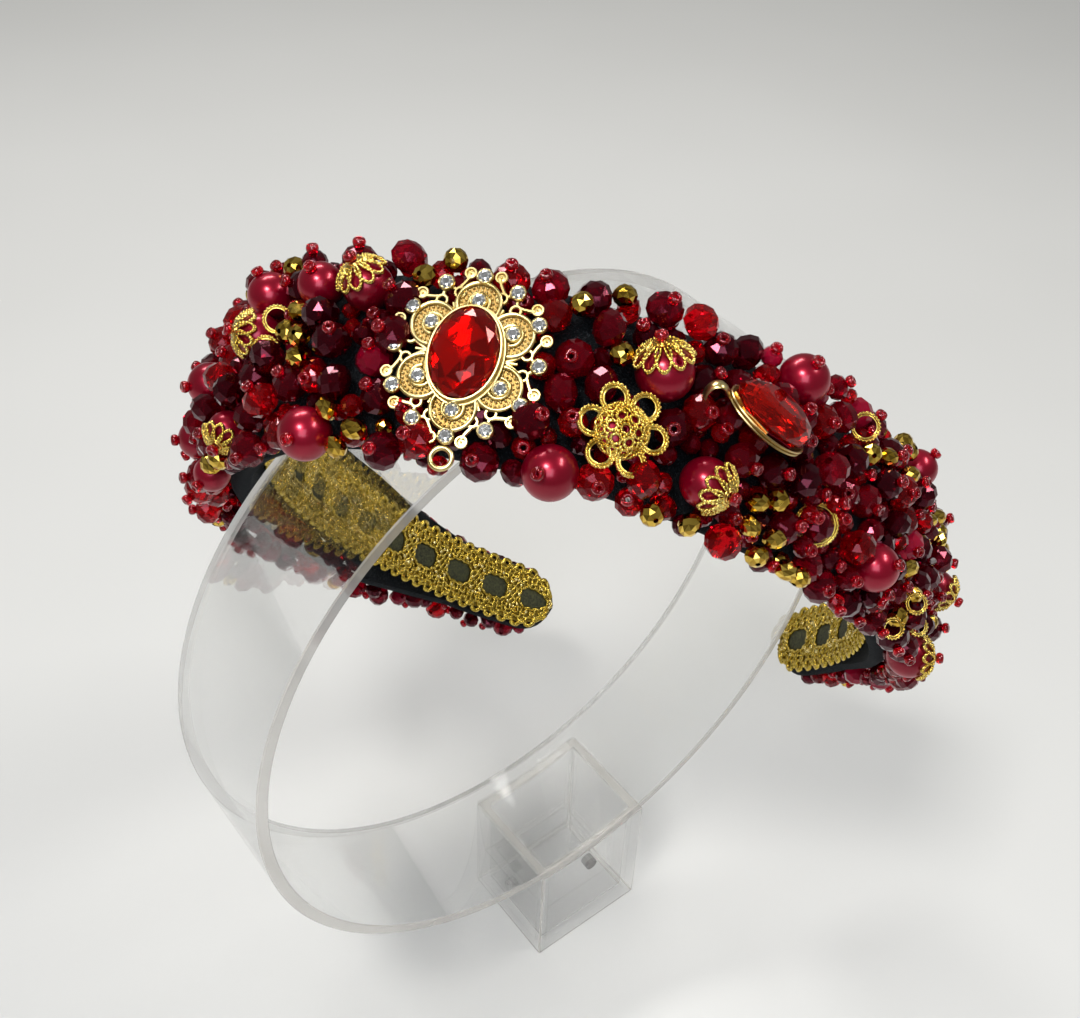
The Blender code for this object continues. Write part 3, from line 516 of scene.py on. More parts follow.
def seat(along, around, lift, turn=0.0):
    """World frame on the velvet: x along the band, y to the back edge, z straight off the surface."""
    width, rise = section(along)
    angle = math.radians(around)
    _, tangent, outward = arch_axes(along)
    across = Vector((0, -1, 0))
    normal = (outward * math.cos(angle) / rise + across * math.sin(angle) / width).normalized()
    point = arch_point(along, VELVET_EDGE + rise * math.cos(angle), width * math.sin(angle))
    matrix = Matrix((tangent, normal.cross(tangent), normal)).transposed().to_4x4()
    matrix.translation = point + normal * lift
    return BAND @ matrix @ rotated(turn, "Z")


def ornament_seat(row):
    """World frame of a medallion, pendant or flower."""
    return seat(row.along, row.around, row.lift, row.turn) @ rotated(row.lean, "X")


def within_edges(along, around, radius=CRYSTAL_RADIUS):
    """Around, held inside the beads' edges. A smaller bead may sit closer to the rim."""
    spare = (CRYSTAL_RADIUS - radius) * EDGE_SPARE
    low = np.interp(along, EDGE_ALONG, EDGE_BACK) - spare
    return np.clip(around, low, np.interp(along, EDGE_ALONG, EDGE_FRONT) + spare)


def arch_arrays(along):
    """The same as arch_axes for an array of places."""
    turn = np.radians(along)
    zero = np.zeros_like(turn)
    foot = np.stack((ARCH_HALF_WIDTH * np.sin(turn), zero, ARCH_HALF_HEIGHT * np.cos(turn)), axis=1)
    tangent = np.stack((ARCH_HALF_WIDTH * np.cos(turn), zero, -ARCH_HALF_HEIGHT * np.sin(turn)), axis=1)
    tangent /= np.linalg.norm(tangent, axis=1)[:, None]
    return foot, np.stack((-tangent[:, 2], zero, tangent[:, 0]), axis=1)


def surface(along, around, lift):
    """The same as seat for arrays of places: points and ways off the surface, in the world."""
    width, rise = section(along)
    angle = np.radians(around)
    foot, outward = arch_arrays(along)
    across = np.array((0.0, -1.0, 0.0))
    normal = outward * (np.cos(angle) / rise)[:, None] + across * (np.sin(angle) / width)[:, None]
    normal /= np.linalg.norm(normal, axis=1)[:, None]
    point = foot + outward * (VELVET_EDGE + rise * np.cos(angle))[:, None]
    point = point + across * (width * np.sin(angle))[:, None] + normal * lift[:, None]
    return point @ BAND_SPIN.T + np.array(BAND_PLACE), normal @ BAND_SPIN.T


def pearl_frame(row):
    """World frame at a pearl's centre."""
    return seat(row.along, row.around, PEARL_LIFT + row.size / 2)


def capped_pearl(cap):
    """The pearl under a cap."""
    return PEARLS[cap.pearl - 1]


def cap_frame(cap):
    """World frame at the centre of a capped pearl, with z towards the cap's crown."""
    return pearl_frame(capped_pearl(cap)) @ rotated(cap.lean_across, "X") @ rotated(cap.lean_along, "Y")


def tilted(place, most):
    """A frame leant by up to so many radians, and turned by chance."""
    lean = Euler((dice.uniform(-most, most), dice.uniform(-most, most), dice.uniform(0, math.tau)))
    return place @ lean.to_matrix().to_4x4()


def towards_eye(place, share):
    """A frame turned so that its z looks partly, by the share, at the camera."""
    spot = place.translation
    way = place.col[2].to_3d().lerp((EYE - spot).normalized(), share).normalized()
    return Matrix.Translation(spot) @ way.to_track_quat("Z", "Y").to_matrix().to_4x4()


# The stand

HOOP_SOFT = 0.25 * MM
HOOP_SIDES = 240
BASE_BEVEL = 0.40 * MM


def make_hoop():
    """The clear hoop with softened edges. Its broad faces are clear and its edges sawn, their milky colour
    partly a painted highlight.
    """
    half = HOOP_WIDTH / 2
    inner = HOOP_RADIUS - HOOP_WALL
    rows = (
        (HOOP_RADIUS - HOOP_SOFT, -half, 0), (HOOP_RADIUS, -half + HOOP_SOFT, 0),
        (HOOP_RADIUS, half - HOOP_SOFT, 0), (HOOP_RADIUS - HOOP_SOFT, half, 0),
        (inner + HOOP_SOFT, half, 0), (inner, half - HOOP_SOFT, 0),
        (inner, -half + HOOP_SOFT, 0), (inner + HOOP_SOFT, -half, 0),
    )
    hoop = Heap(turned(HOOP_SIDES, rows, closed=True), moved(0, 0, HOOP_CENTRE_HEIGHT) @ rotated(90, "X"))
    broad = {1, 5}
    # the narrow faces take the milky edge colour, partly a painted highlight
    hoop.kinds = [0 if row in broad else 1 for row in range(len(rows)) for _ in range(HOOP_SIDES)]
    piece = make_piece("clear_hoop", hoop, ["acrylic", "acrylic_edge_and_painted_highlight"], ["stand_hoop"])
    piece.data.set_sharp_from_angle(angle=math.radians(30))


def make_base():
    """The stand's clear socket: a floor and four walls that end in a saddle under the hoop."""
    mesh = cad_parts["stand_base"].data
    points = [tuple(vertex.co) for vertex in mesh.vertices]
    socket = Heap((points, [tuple(face.vertices) for face in mesh.polygons]), smooth=False)
    finishes = ["thin_acrylic", "acrylic_edge_and_painted_highlight", "acrylic_hole_painted_shade"]
    piece = make_piece("clear_base", socket, finishes, ["stand_base"])
    middle = (BASE_LOW + BASE_HIGH) / 2
    with edited(piece) as bm:
        bmesh.ops.remove_doubles(bm, verts=bm.verts, dist=0.002 * MM)
        bmesh.ops.dissolve_limit(bm, angle_limit=math.radians(1), verts=bm.verts, edges=bm.edges)
        for face in bm.faces:
            x, y, z = face.calc_center_median()
            from_axis = math.hypot(x, z - HOOP_CENTRE_HEIGHT)
            under_hoop = from_axis < HOOP_RADIUS + 2 * GAP and z > BASE_TOP - 5 * MM
            # the saddle and the wall tops take the milky edge colour, partly a painted highlight
            if under_hoop or (face.normal.z > 0.7 and z > BASE_TOP / 2):
                face.material_index = 1
            from_front = math.hypot(x - middle.x, z - BASE_HOLE_HEIGHTS["front"])
            from_side = math.hypot(y - middle.y, z - BASE_HOLE_HEIGHTS["side"])
            # painted shade: the screw holes' walls take the dark acrylic
            if face.calc_area() < HOLE_FACE_MOST and min(from_front, from_side) < BASE_HOLE_RADIUS * 1.05:
                face.material_index = 2
    with edited(piece) as bm:
        sharp = []
        for edge in bm.edges:
            long = edge.calc_length() > 3 * BASE_BEVEL
            if len(edge.link_faces) == 2 and long and edge.calc_face_angle() > math.radians(40):
                sharp.append(edge)
        made = bmesh.ops.bevel(
            bm, geom=sharp, offset=BASE_BEVEL, offset_type="OFFSET", segments=2, profile=0.5, affect="EDGES")
        # the bevels take the milky edge colour too, partly a painted highlight
        for face in made["faces"]:
            face.material_index = 1


# The band and its braid

def tip_keep(along, tip):
    """Share of the full width near a rounded tip."""
    start = tip - TIP_ROUNDING
    if abs(along) <= start:
        return 1.0
    share = min(1.0, (abs(along) - start) / TIP_ROUNDING)
    return max(0.12, math.sqrt(1 - share * share))


def marks(tip):
    """Places along the arch, close together at the rounded tips."""
    start = tip - TIP_ROUNDING
    middle = list(np.arange(-start, start + 1e-6, 1.5))
    ends = [start + TIP_ROUNDING * share for share in (0.2, 0.4, 0.55, 0.7, 0.8, 0.88, 0.94, 0.98, 1.0)]
    return [-end for end in reversed(ends)] + middle + ends


def band_bar(rings, flip=False):
    """A closed bar along the band from rings of (along, section), a section being rows of (out, across)."""
    points = [tuple(BAND @ arch_point(along, *spot)) for along, ring in rings for spot in ring]
    return points, ring_faces(len(rings), len(rings[0][1]), flip=flip)


def make_velvet():
    """The padded velvet: flat towards the braid, domed and slightly uneven towards the beads."""
    rings = []
    for along in marks(VELVET_TIP):
        keep = tip_keep(along, VELVET_TIP)
        width, rise = section(along)
        slim = np.interp(abs(along), (60, 125), (1.4 * MM, 0.3 * MM))
        width, rise = float(width - slim) * keep, float(rise) * keep
        inner = max(width - 0.9 * MM, width / 2)
        ring = [(VELVET_INNER, -inner + 2 * inner * k / 6) for k in range(7)]
        for around in range(90, -91, -9):
            angle = math.radians(around)
            wave = 0.25 * MM * noise.noise(Vector((along * 0.12, around * 0.04, 3.1))) * keep
            ring.append((VELVET_EDGE + (rise + wave) * math.cos(angle), (width + wave) * math.sin(angle)))
        rings.append((along, ring))
    piece = make_piece("velvet_padding", Heap(band_bar(rings)), ["velvet"], ["velvet_band"])
    fix_normals(piece)
    piece.data.set_sharp_from_angle(angle=math.radians(60))


def arch_table():
    """Length along the braid for each degree, to space the gimp evenly."""
    degrees = np.linspace(-BRAID_TIP, BRAID_TIP, 1201)
    turn = np.radians(degrees)
    speed = np.hypot(ARCH_HALF_WIDTH * np.cos(turn), ARCH_HALF_HEIGHT * np.sin(turn)) * math.radians(1)
    length = np.concatenate(((0.0,), np.cumsum((speed[1:] + speed[:-1]) / 2 * np.diff(degrees))))
    return degrees, length


DEGREES, LENGTHS = arch_table()


def braid_path(steps, across, out):
    """World points by length along the braid, width across and depth, with the ways out at them."""
    along = np.interp(steps, LENGTHS, DEGREES)
    keep = np.array([tip_keep(a, BRAID_TIP) for a in along])
    foot, outward = arch_arrays(along)
    points = foot + outward * np.asarray(out).reshape(-1, 1)
    points[:, 1] -= across * keep
    return points @ BAND_SPIN.T + np.array(BAND_PLACE), outward @ BAND_SPIN.T


def squared_circle(segments, power):
    """Turns, cosines and sines round a circle that is drawn out towards a square."""
    turn = np.arange(segments) * math.tau / segments
    reach = (np.abs(np.cos(turn)) ** power + np.abs(np.sin(turn)) ** power) ** (-1 / power)
    return turn, np.cos(turn) * reach, np.sin(turn) * reach


WINDOW_PITCH = 12.8 * MM
WINDOW_HALF_LENGTH = 4.1 * MM
WINDOW_HALF_WIDTH = 2.8 * MM
FELT_SIDES = 20
# Cords of each half: width across, swing, pitch, phase, wire, depth, rise, back step, points to a wave.
# Lengths are in mm.
BRAID_CORDS = (
    (7.30, 0.85, 4.4, 0.0, 0.58, 0.60, 0.12, 0.30, 12),
    (6.40, 0.75, 4.4, 2.6, 0.48, 0.55, 0.15, 0.30, 12),
    (5.10, 0.90, 3.0, 0.7, 0.36, 0.45, 0.20, 0.45, 9),
    (4.10, 0.85, 2.6, 1.9, 0.34, 0.42, 0.20, 0.40, 9),
)
# Knots round a window: shares of its half length and half width.
KNOTS = [(a, b) for a in (-1.05, 1.05) for b in (-0.82, 0.0, 0.82)] + [(-0.35, -1.25), (0.35, 1.25)]
KNOTS += [(a, b) for a in (-1.28, 1.28) for b in (-1.1, 1.1)]


def felt_pad(middle):
    """A small oval felt cushion, lying in the braid at a length along it."""
    rings = []
    _, along, across = squared_circle(FELT_SIDES, 3)
    for share, height in ((1.0, 0.90), (1.0, 0.72), (0.85, 0.55), (0.5, 0.44), (0.06, 0.40)):
        depth = np.full(FELT_SIDES, height * MM)
        steps = middle + WINDOW_HALF_LENGTH * share * along
        rings.append(braid_path(steps, WINDOW_HALF_WIDTH * share * across, depth)[0])
    return np.vstack(rings), ring_faces(len(rings), FELT_SIDES)


def make_braid():
    """Metallic gimp: a ground ribbon, scalloped edge cords, looped threads and black windows with knots."""
    total = LENGTHS[-1]
    rings = []
    for along in marks(BRAID_TIP):
        half = (BRAID_HALF_WIDTH - 1.3 * MM) * tip_keep(along, BRAID_TIP)
        rings.append((along, ((0.75 * MM, -half), (0.75 * MM, half), (1.45 * MM, half), (1.45 * MM, -half))))
    braid = Heap(band_bar(rings, flip=True), kind=1, smooth=False)

    def lay(steps, across, depth, wire, sides=5, closed=False):
        """One thread from its lengths along the braid, widths across it and depths."""
        path, ways = braid_path(np.clip(steps, 0, total), across, depth)
        braid.add(tube(path, wire, ways, sides, closed))

    for side in (-1, 1):
        for centre, swing, pitch, phase, wire, depth, rise, backstep, per in BRAID_CORDS:
            t = np.linspace(0, 1, int(total / (pitch * MM) * per))
            wave = math.tau * t * total / (pitch * MM) + phase
            steps = 0.6 * MM + t * (total - 1.2 * MM) + backstep * MM * np.sin(2 * wave)
            across = side * centre * MM + swing * MM * np.cos(wave)
            lay(steps, across, depth * MM + rise * MM * np.sin(wave), wire * MM)

    windows = Heap()
    middle = WINDOW_PITCH * 0.42
    while middle < total - 4.0 * MM:
        windows.add(felt_pad(middle))
        turn, along, across = squared_circle(60, 2.8)
        swell = 0.20 * MM * np.cos(turn * 12)
        steps = middle + (WINDOW_HALF_LENGTH + 0.30 * MM + swell) * along
        depth = 0.40 * MM + 0.12 * MM * np.sin(turn * 12)
        lay(steps, (WINDOW_HALF_WIDTH + 0.25 * MM + swell) * across, depth, 0.36 * MM, 6, True)
        for k in range(4):
            t = np.linspace(0, 1, 22)
            wave = math.tau * t * 3 + 1.7 * k
            steps = middle + WINDOW_PITCH / 2 + (k - 1.5) * 1.05 * MM + 0.42 * MM * np.cos(wave)
            if steps.max() < total - 1.5 * MM:
                lay(steps, (t - 0.5) * 8.2 * MM, 0.42 * MM + 0.18 * MM * np.sin(wave), 0.36 * MM)
        for a, b in KNOTS:
            reach = np.clip(np.array([middle + a * (WINDOW_HALF_LENGTH + 0.5 * MM)]), 0, total - 1.2 * MM)
            across = np.array([b * (WINDOW_HALF_WIDTH + 0.5 * MM)])
            world, _ = braid_path(reach, across, np.array([0.16 * MM]))
            size = 0.52 * MM * (0.8 + 0.35 * dice.random())
            braid.add(scaled(BALL, size), Matrix.Translation(world[0]), kind=2)
        middle += WINDOW_PITCH
    finishes = ["braid", "braid_ground", "knot"]
    fix_normals(make_piece("gold_braid_gimp", braid, finishes, ["gold_braid"]))
    fix_normals(make_piece("braid_felt_windows", windows, ["ribbon"]))


# Beads

def charted_beads():
    """The beads whose places are known, before they are pushed apart: gold clusters, then crystals."""
    beads = []
    for along, around, count in CHARTED_GOLD:
        for k in range(count):
            turn = math.tau * k / count + dice.uniform(-0.3, 0.3)
            width, _ = section(along)
            step_along = math.degrees(GOLD_SPREAD * math.cos(turn) / (ARCH_HALF_WIDTH + 8 * MM))
            step_around = math.degrees(GOLD_SPREAD * math.sin(turn) / float(width))
            beads.append(Bead(along + step_along, around + step_around, 4.8 * MM, GOLD_RADIUS, "gold_bead"))
    for along, around, kind in CHARTED_CRYSTALS:
        beads.append(Bead(along, around, CRYSTAL_LIFT, CRYSTAL_RADIUS, kind))
    return beads


# How far a bead's centre may lie below an ornament's foot and still be pushed out, in its own radii.
UNDER_LACE = 0.9
# What the beads keep clear of: frames and half sizes of the ornaments.
ORNAMENTS = (
    (ornament_seat(MEDALLION), Vector((10.2, 11.8)) * MM),
    (ornament_seat(PENDANT), Vector((8.0, 6.0)) * MM),
    (ornament_seat(FLOWER), Vector((5.4, 5.4)) * MM),
)


CAPPED = {cap.pearl for cap in CAPS}
PEARL_CENTRES = np.array([pearl_frame(row).translation for row in PEARLS])
PEARL_RADII = np.array([
    row.size / 2 + (CAP_WALL + GAP if number in CAPPED else 0.0) for number, row in enumerate(PEARLS, 1)])


def ornament_push(points, radii):
    """How far beads must go sideways to clear the raised ornaments."""
    push = np.zeros_like(points)
    for place, half in ORNAMENTS:
        turn = np.array(place.inverted())
        local = points @ turn[:3, :3].T + turn[:3, 3]
        reach = np.hypot(local[:, 0] / (half.x + radii * 0.5), local[:, 1] / (half.y + radii * 0.5))
        inside = (reach < 1) & (local[:, 2] > -radii * UNDER_LACE)
        away = local.copy()
        away[:, 2] = 0
        size = np.maximum(np.linalg.norm(away, axis=1), 1e-9)[:, None]
        back = np.array(place)[:3, :3]
        push += (away / size * ((1 - reach) * half.x)[:, None]) @ back.T * inside[:, None]
    return push


def hits_hoop(points, radii):
    """True for beads that would touch the hoop."""
    from_axis = np.hypot(points[:, 0], points[:, 2] - HOOP_CENTRE_HEIGHT)
    reach = radii + 0.2 * MM
    beside = np.abs(points[:, 1]) < HOOP_WIDTH / 2 + reach
    return beside & (from_axis < HOOP_RADIUS + reach) & (from_axis > HOOP_RADIUS - HOOP_WALL - reach)


def spread_beads(beads, rounds):
    """Push beads apart along the band until they lie side by side."""
    along, around, lift, radius = (np.array([row[k] for row in beads], dtype=float) for k in range(4))
    home = lift.copy()
    step = 0.05
    for _ in range(rounds):
        point, normal = surface(along, around, lift)
        ahead = (surface(along + step, around, lift)[0] - point) / step
        beside = (surface(along, around + step, lift)[0] - point) / step
        apart = point[:, None, :] - point[None, :, :]
        distance = np.linalg.norm(apart, axis=2) + 1e-9
        overlap = np.clip(radius[:, None] + radius[None, :] - distance, 0, None)
        np.fill_diagonal(overlap, 0)
        push = (apart / distance[:, :, None] * overlap[:, :, None] * 0.5).sum(axis=1)
        apart = point[:, None, :] - PEARL_CENTRES[None, :, :]
        distance = np.linalg.norm(apart, axis=2)
        overlap = np.clip(radius[:, None] + PEARL_RADII[None, :] - distance, 0, None)
        push += (apart / distance[:, :, None] * overlap[:, :, None]).sum(axis=1)
        push += ornament_push(point, radius) * 0.3
        size = np.linalg.norm(push, axis=1)
        push *= np.minimum(1.0, 0.7 * MM / np.maximum(size, 1e-9))[:, None]
        along += (push * ahead).sum(axis=1) / (ahead ** 2).sum(axis=1)
        around += (push * beside).sum(axis=1) / (beside ** 2).sum(axis=1)
        lift += (push * normal).sum(axis=1) * 0.6 + (home - lift) * 0.06
        lift = np.clip(lift, radius * 0.92, np.maximum(radius + 2.2 * MM, 5.4 * MM))
        around = within_edges(along, around)
        along = np.clip(along, -FIELD_END, FIELD_END)
    return [Bead(a, b, c, row.radius, row.kind) for a, b, c, row in zip(along, around, lift, beads)]


class Field:
    """The beads that are in place, with the pearls, and a test of what still fits."""

    def __init__(self):
        self.beads = []
        self.centres = PEARL_CENTRES
        self.radii = PEARL_RADII

    def take(self, bead, point):
        """One more bead, with its centre in the world."""
        self.beads.append(bead)
        self.centres = np.vstack((self.centres, point))
        self.radii = np.append(self.radii, bead.radius)

    def keep(self, beads, press):
        """Take the beads that clear the others, the ornaments and the hoop. press lets soft contact pass."""
        along, around, lift = (np.array([bead[k] for bead in beads], dtype=float) for k in range(3))
        for bead, point in zip(beads, surface(along, around, lift)[0]):
            distance = np.linalg.norm(self.centres - point, axis=1)
            one, size = point[None, :], np.array([bead.radius])
            touching = (distance < self.radii + bead.radius - press).any()
            if not touching and not ornament_push(one, size).any() and not hits_hoop(one, size).any():
                self.take(bead, point)

    def scatter(self, tries, low, high, radius, kind, press, most=10000):
        """Fill free room with beads of one size, the tightest fitting places first.

        tries is the number of places that are drawn, and it seeds the draw.
        """
        chance = np.random.RandomState(BEAD_SEED + tries)
        along = chance.uniform(-FIELD_END, FIELD_END, tries)
        around = within_edges(along, chance.uniform(-66, 70, tries), radius)
        lift = chance.uniform(low, high, tries)
        points = surface(along, around, lift)[0]
        sizes = np.full(tries, radius)
        clear = np.full(tries, 1.0)
        for centre, size in zip(self.centres, self.radii):
            clear = np.minimum(clear, np.linalg.norm(points - centre, axis=1) - size)
        clear[ornament_push(points, sizes).any(axis=1) | hits_hoop(points, sizes)] = -1.0
        for _ in range(most):
            fitting = np.where(clear >= radius - press, clear, 9.0)
            best = int(np.argmin(fitting))
            if fitting[best] > 8:
                break
            self.take(Bead(along[best], around[best], lift[best], radius, kind()), points[best])
            clear = np.minimum(clear, np.linalg.norm(points - points[best], axis=1) - radius)


def crystal_kind():
    """Kind of glass, by chance."""
    draw = dice.random()
    return "garnet" if draw < 0.66 else "red" if draw < 0.94 else "raspberry"


def small_kind():
    """Kind of a small bead, by chance."""
    return "gold_bead" if dice.random() < 0.2 else "red"


def place_beads():
    """Charted beads and chance beads, spread over the band, then smaller ones in what room is left."""
    beads = charted_beads()
    charted = len(beads)
    along = -FIELD_END
    while along < FIELD_END:
        width, rise = section(along)
        rows = max(4, int(round((float(width) + float(rise) + 5.5 * MM) * 1.7 / (5.5 * MM))))
        for k in range(rows):
            around = -60 + 120 * (k + 0.5) / rows
            spot = (
                along + dice.uniform(-1.6, 1.6), around + dice.uniform(-5, 5),
                CRYSTAL_LIFT + dice.uniform(-0.5, 0.9) * MM,
            )
            beads.append(Bead(*spot, CRYSTAL_RADIUS, crystal_kind()))
        turn = math.radians(along)
        speed = math.hypot(ARCH_HALF_WIDTH * math.cos(turn), ARCH_HALF_HEIGHT * math.sin(turn)) + 7 * MM
        along += math.degrees(5.6 * MM / speed)
    beads = spread_beads(beads, 90)
    field = Field()
    field.keep(beads[:charted], 0.55 * MM)
    field.keep(beads[charted:], 0.35 * MM)
    field.scatter(30000, 2.6 * MM, 5.2 * MM, CRYSTAL_RADIUS * 0.97, crystal_kind, 0.5 * MM)
    field.scatter(20000, 2.0 * MM, 5.2 * MM, 2.3 * MM, crystal_kind, 0.4 * MM)
    field.scatter(20001, 1.7 * MM, 3.6 * MM, 1.9 * MM, crystal_kind, 0.35 * MM)
    field.scatter(15000, 1.6 * MM, 4.8 * MM, 1.55 * MM, small_kind, 0.2 * MM, 150)
    field.scatter(15001, 1.0 * MM, 4.0 * MM, SEED_RADIUS, lambda: "seed", 0.1 * MM, 120)
    return field.beads


def make_beads(beads):
    """All the beads of the two fields, one mesh per half and kind of finish, with their stopper seeds."""
    glass_half = {"left": Heap(), "right": Heap()}
    gold, seeds = Heap(), Heap()
    order = ["garnet", "red", "raspberry", "bronzed", "pearl"]
    stopper = scaled(SEED, SEED_RADIUS)
    for along, around, lift, radius, kind in beads:
        place = seat(along, around, lift)
        if kind == "seed":
            seeds.add(scaled(SEED, radius), tilted(place, 1.2))
            continue
        if kind == "gold_bead":
            gold.add(scaled(CRYSTAL, radius), tilted(place @ rotated(50, "X"), 0.8), smooth=False)
            continue
        spot = tilted(place, 0.55)
        stopped = dice.random() < (0.85 if around > 45 else 0.5) and lift > 2.6 * MM
        round_bead = kind == "pearl"
        shape = scaled(PEARL if round_bead else CRYSTAL, radius)
        lying = spot if stopped else spot @ rotated(80, "X")
        glass_half["left" if along < 6 else "right"].add(shape, lying, order.index(kind), round_bead)
        if stopped:
            seeds.add(stopper, spot @ moved(0, 0, radius * CRYSTAL_HEIGHT + SEED_RADIUS * 0.62))
    for half, heap in glass_half.items():
        make_piece(f"crystals_{half}", heap, order, [f"bead_field_{half}"])
    # painted shade: about two facets in five take the darker copy, as if they mirrored dark surroundings
    gold.kinds = [1 if k * 7 % 5 < 2 else 0 for k in range(len(gold.faces))]
    make_piece("gold_crystals", gold, ["gold_bead", "gold_bead_painted_shade"])
    for number, row in enumerate(PEARLS, 1):
        spot = tilted(pearl_frame(row), 0.4)
        bead = Heap(scaled(PEARL, row.size / 2), spot)
        make_piece(f"pearl_bead_{number:02d}", bead, ["pearl"], [f"pearl_{number:02d}"])
        if number not in CAPPED:
            seeds.add(stopper, spot @ moved(0, 0, row.size / 2 + SEED_RADIUS * 0.55))
    for cap in CAPS:
        seeds.add(stopper, cap_frame(cap) @ moved(0, 0, capped_pearl(cap).size / 2 + GAP + 1.2 * MM))
    make_piece("seed_beads", seeds, ["seed"])


# Filigree

def on_ball(radius, reach, sideways, turn):
    """A point on a ball: so far down from the crown, and sideways, both as lengths on its skin."""
    angle = reach / radius
    out = np.array((math.cos(turn), math.sin(turn), 0.0))
    beside = np.array((-math.sin(turn), math.cos(turn), 0.0))
    way = out * math.sin(angle) + np.array((0, 0, 1.0)) * math.cos(angle) + beside * (sideways / radius)
    return way / np.linalg.norm(way) * radius


def petal_rows(low, high, half):
    """A petal as (reach, sideways) rows: two legs from a narrow foot and a round end."""
    long = (high - low) / 2
    rows = [(low, -half * 0.25)]
    for k in range(15):
        angle = (k / 14 * 2 - 1) * math.pi * 0.72
        rows.append((low + long + long * math.cos(angle), half * math.sin(angle) * 1.05))
    return rows + [(low, half * 0.25)]


def make_cap(number, cap):
    """A daisy cap: slim looped petals edged with grains, curved over its pearl."""
    radius = capped_pearl(cap).size / 2 + GAP + 0.2 * MM
    place = cap_frame(cap)
    wires = Heap()
    petals = 11
    half = radius * math.sin(math.radians(CAP_REACH + 4)) * math.tau / petals / 2 * 0.86
    rows = petal_rows(1.1 * MM, radius * math.radians(CAP_REACH + 9), half)
    for k in range(petals):
        turn = math.tau * k / petals
        path = np.array([on_ball(radius, reach, side, turn) for reach, side in rows])
        wires.add(tube(path, 0.22 * MM, path), place)
        for reach, side in rows[2:-2]:
            wires.grain(0.27 * MM, place, on_ball(radius + 0.20 * MM, reach, side * 1.05, turn))
    for reach in (0.85 * MM, 1.35 * MM):
        crown = np.array([on_ball(radius, reach, 0, math.tau * k / 20) for k in range(20)])
        wires.add(tube(crown, 0.24 * MM, crown, closed=True), place)
    make_piece(f"daisy_cap_{number:02d}", wires, ["filigree"], [f"bead_cap_{number:02d}"])


def make_collars(beads):
    """Rings of twisted wire with grains, one mesh. The widest goes round the nearest large bead."""
    collars = Heap()
    large = [bead for bead in beads if bead.radius > 2.9 * MM]
    for row in COLLARS:
        spot = row[:3]
        radius = row.size / 2
        if radius > CRYSTAL_RADIUS:
            apart = [math.hypot(bead.along - row.along, 0.3 * (bead.around - row.around)) for bead in large]
            spot = large[int(np.argmin(apart))][:3]
        place = towards_eye(seat(*spot), 0.75)
        collars.add(ring_shape(radius, 0.17 * MM, 40, 8), place)
        collars.add(ring_shape(radius - 0.36 * MM, 0.14 * MM, 40, 6, (0, 0, 0.05 * MM)), place)
        for grain in circle(radius + 0.10 * MM, int(radius * math.tau / (0.56 * MM)), (0, 0, 0.12 * MM)):
            collars.grain(0.25 * MM, place, grain)
    make_piece("filigree_rings", collars, ["filigree"])


DOME_RADIUS = 5.0 * MM
DOME_FOOT = DOME_RADIUS * math.cos(math.radians(58)) - 0.7 * MM
# Grains on the flower's dome: reach from its crown, how many, size, turn in steps; lengths in mm.
DOME_GRAINS = ((1.30, 6, 0.38, 0.5), (2.95, 12, 0.40, 0.0), (2.85, 6, 0.34, 0.5), (4.75, 28, 0.34, 0.5))


def dome_point(reach, side, turn, extra=0.0):
    """A point on the flower's dome, with the dome's foot just below its frame."""
    return on_ball(DOME_RADIUS + extra, reach, side, turn) - np.array((0, 0, DOME_FOOT))


def make_flower():
    """A domed lattice with looped, grained petals over a red bead."""
    place = ornament_seat(FLOWER)
    flower = Heap()

    def lattice_ring(reach, turn, radius, count):
        """A small wire ring on the dome, with grains round it."""
        spots = [(reach + radius * math.cos(a), radius * math.sin(a)) for a in np.arange(14) * math.tau / 14]
        path = np.array([dome_point(*spot, turn) for spot in spots])
        flower.add(tube(path, 0.28 * MM, path + (0, 0, DOME_FOOT), closed=True), place)
        wide = radius + 0.08 * MM
        for k in range(count):
            a = math.tau * (k + 0.5) / count
            spot = dome_point(reach + wide * math.cos(a), wide * math.sin(a), turn, 0.16 * MM)
            flower.grain(0.31 * MM, place, spot)

    lattice_ring(0.0, 0.0, 0.76 * MM, 7)
    for k in range(6):
        lattice_ring(2.1 * MM, math.tau * k / 6, 0.76 * MM, 7)
    for k in range(12):
        lattice_ring(3.9 * MM, math.tau * (k + 0.5) / 12, 0.70 * MM, 6)
    for reach, count, size, shift in DOME_GRAINS:
        for k in range(count):
            spot = dome_point(reach * MM, 0, math.tau * (k + shift) / count, 0.12 * MM)
            flower.grain(size * MM, place, spot)
    hem = np.array([dome_point(4.85 * MM, 0, math.tau * k / 44) for k in range(44)])
    flower.add(tube(hem, 0.30 * MM, closed=True), place)
    petal = 2.1 * MM
    for k in range(6):
        spot = place @ rotated(60 * k, "Z") @ rotated(-4, "Y") @ moved(4.9 * MM, 0, 0.9 * MM)
        flower.add(ring_shape(petal, 0.27 * MM, 30, 8), spot)
        flower.add(ring_shape(petal - 0.45 * MM, 0.20 * MM, 28, 6), spot)
        for angle in np.linspace(-2.8, 2.8, 20):
            grain = (petal * math.cos(angle) * 1.04, petal * math.sin(angle) * 1.04, 0.20 * MM)
            flower.grain(0.31 * MM, spot, grain)
    make_piece("filigree_flower", flower, ["filigree"], ["flower_filigree"])
    bead = Heap(scaled(PEARL, 4.0 * MM, 4.0 * MM, 1.9 * MM), place @ moved(0, 0, 0.3 * MM))
    make_piece("flower_pearl", bead, ["pearl"])


# Stones and their settings

def oval(half, rows, sides):
    """An oval solid from rows of (share of the half size, height, shift)."""
    points, faces = turned(sides, rows)
    return points * np.array((half.x, half.y, 1.0)), faces


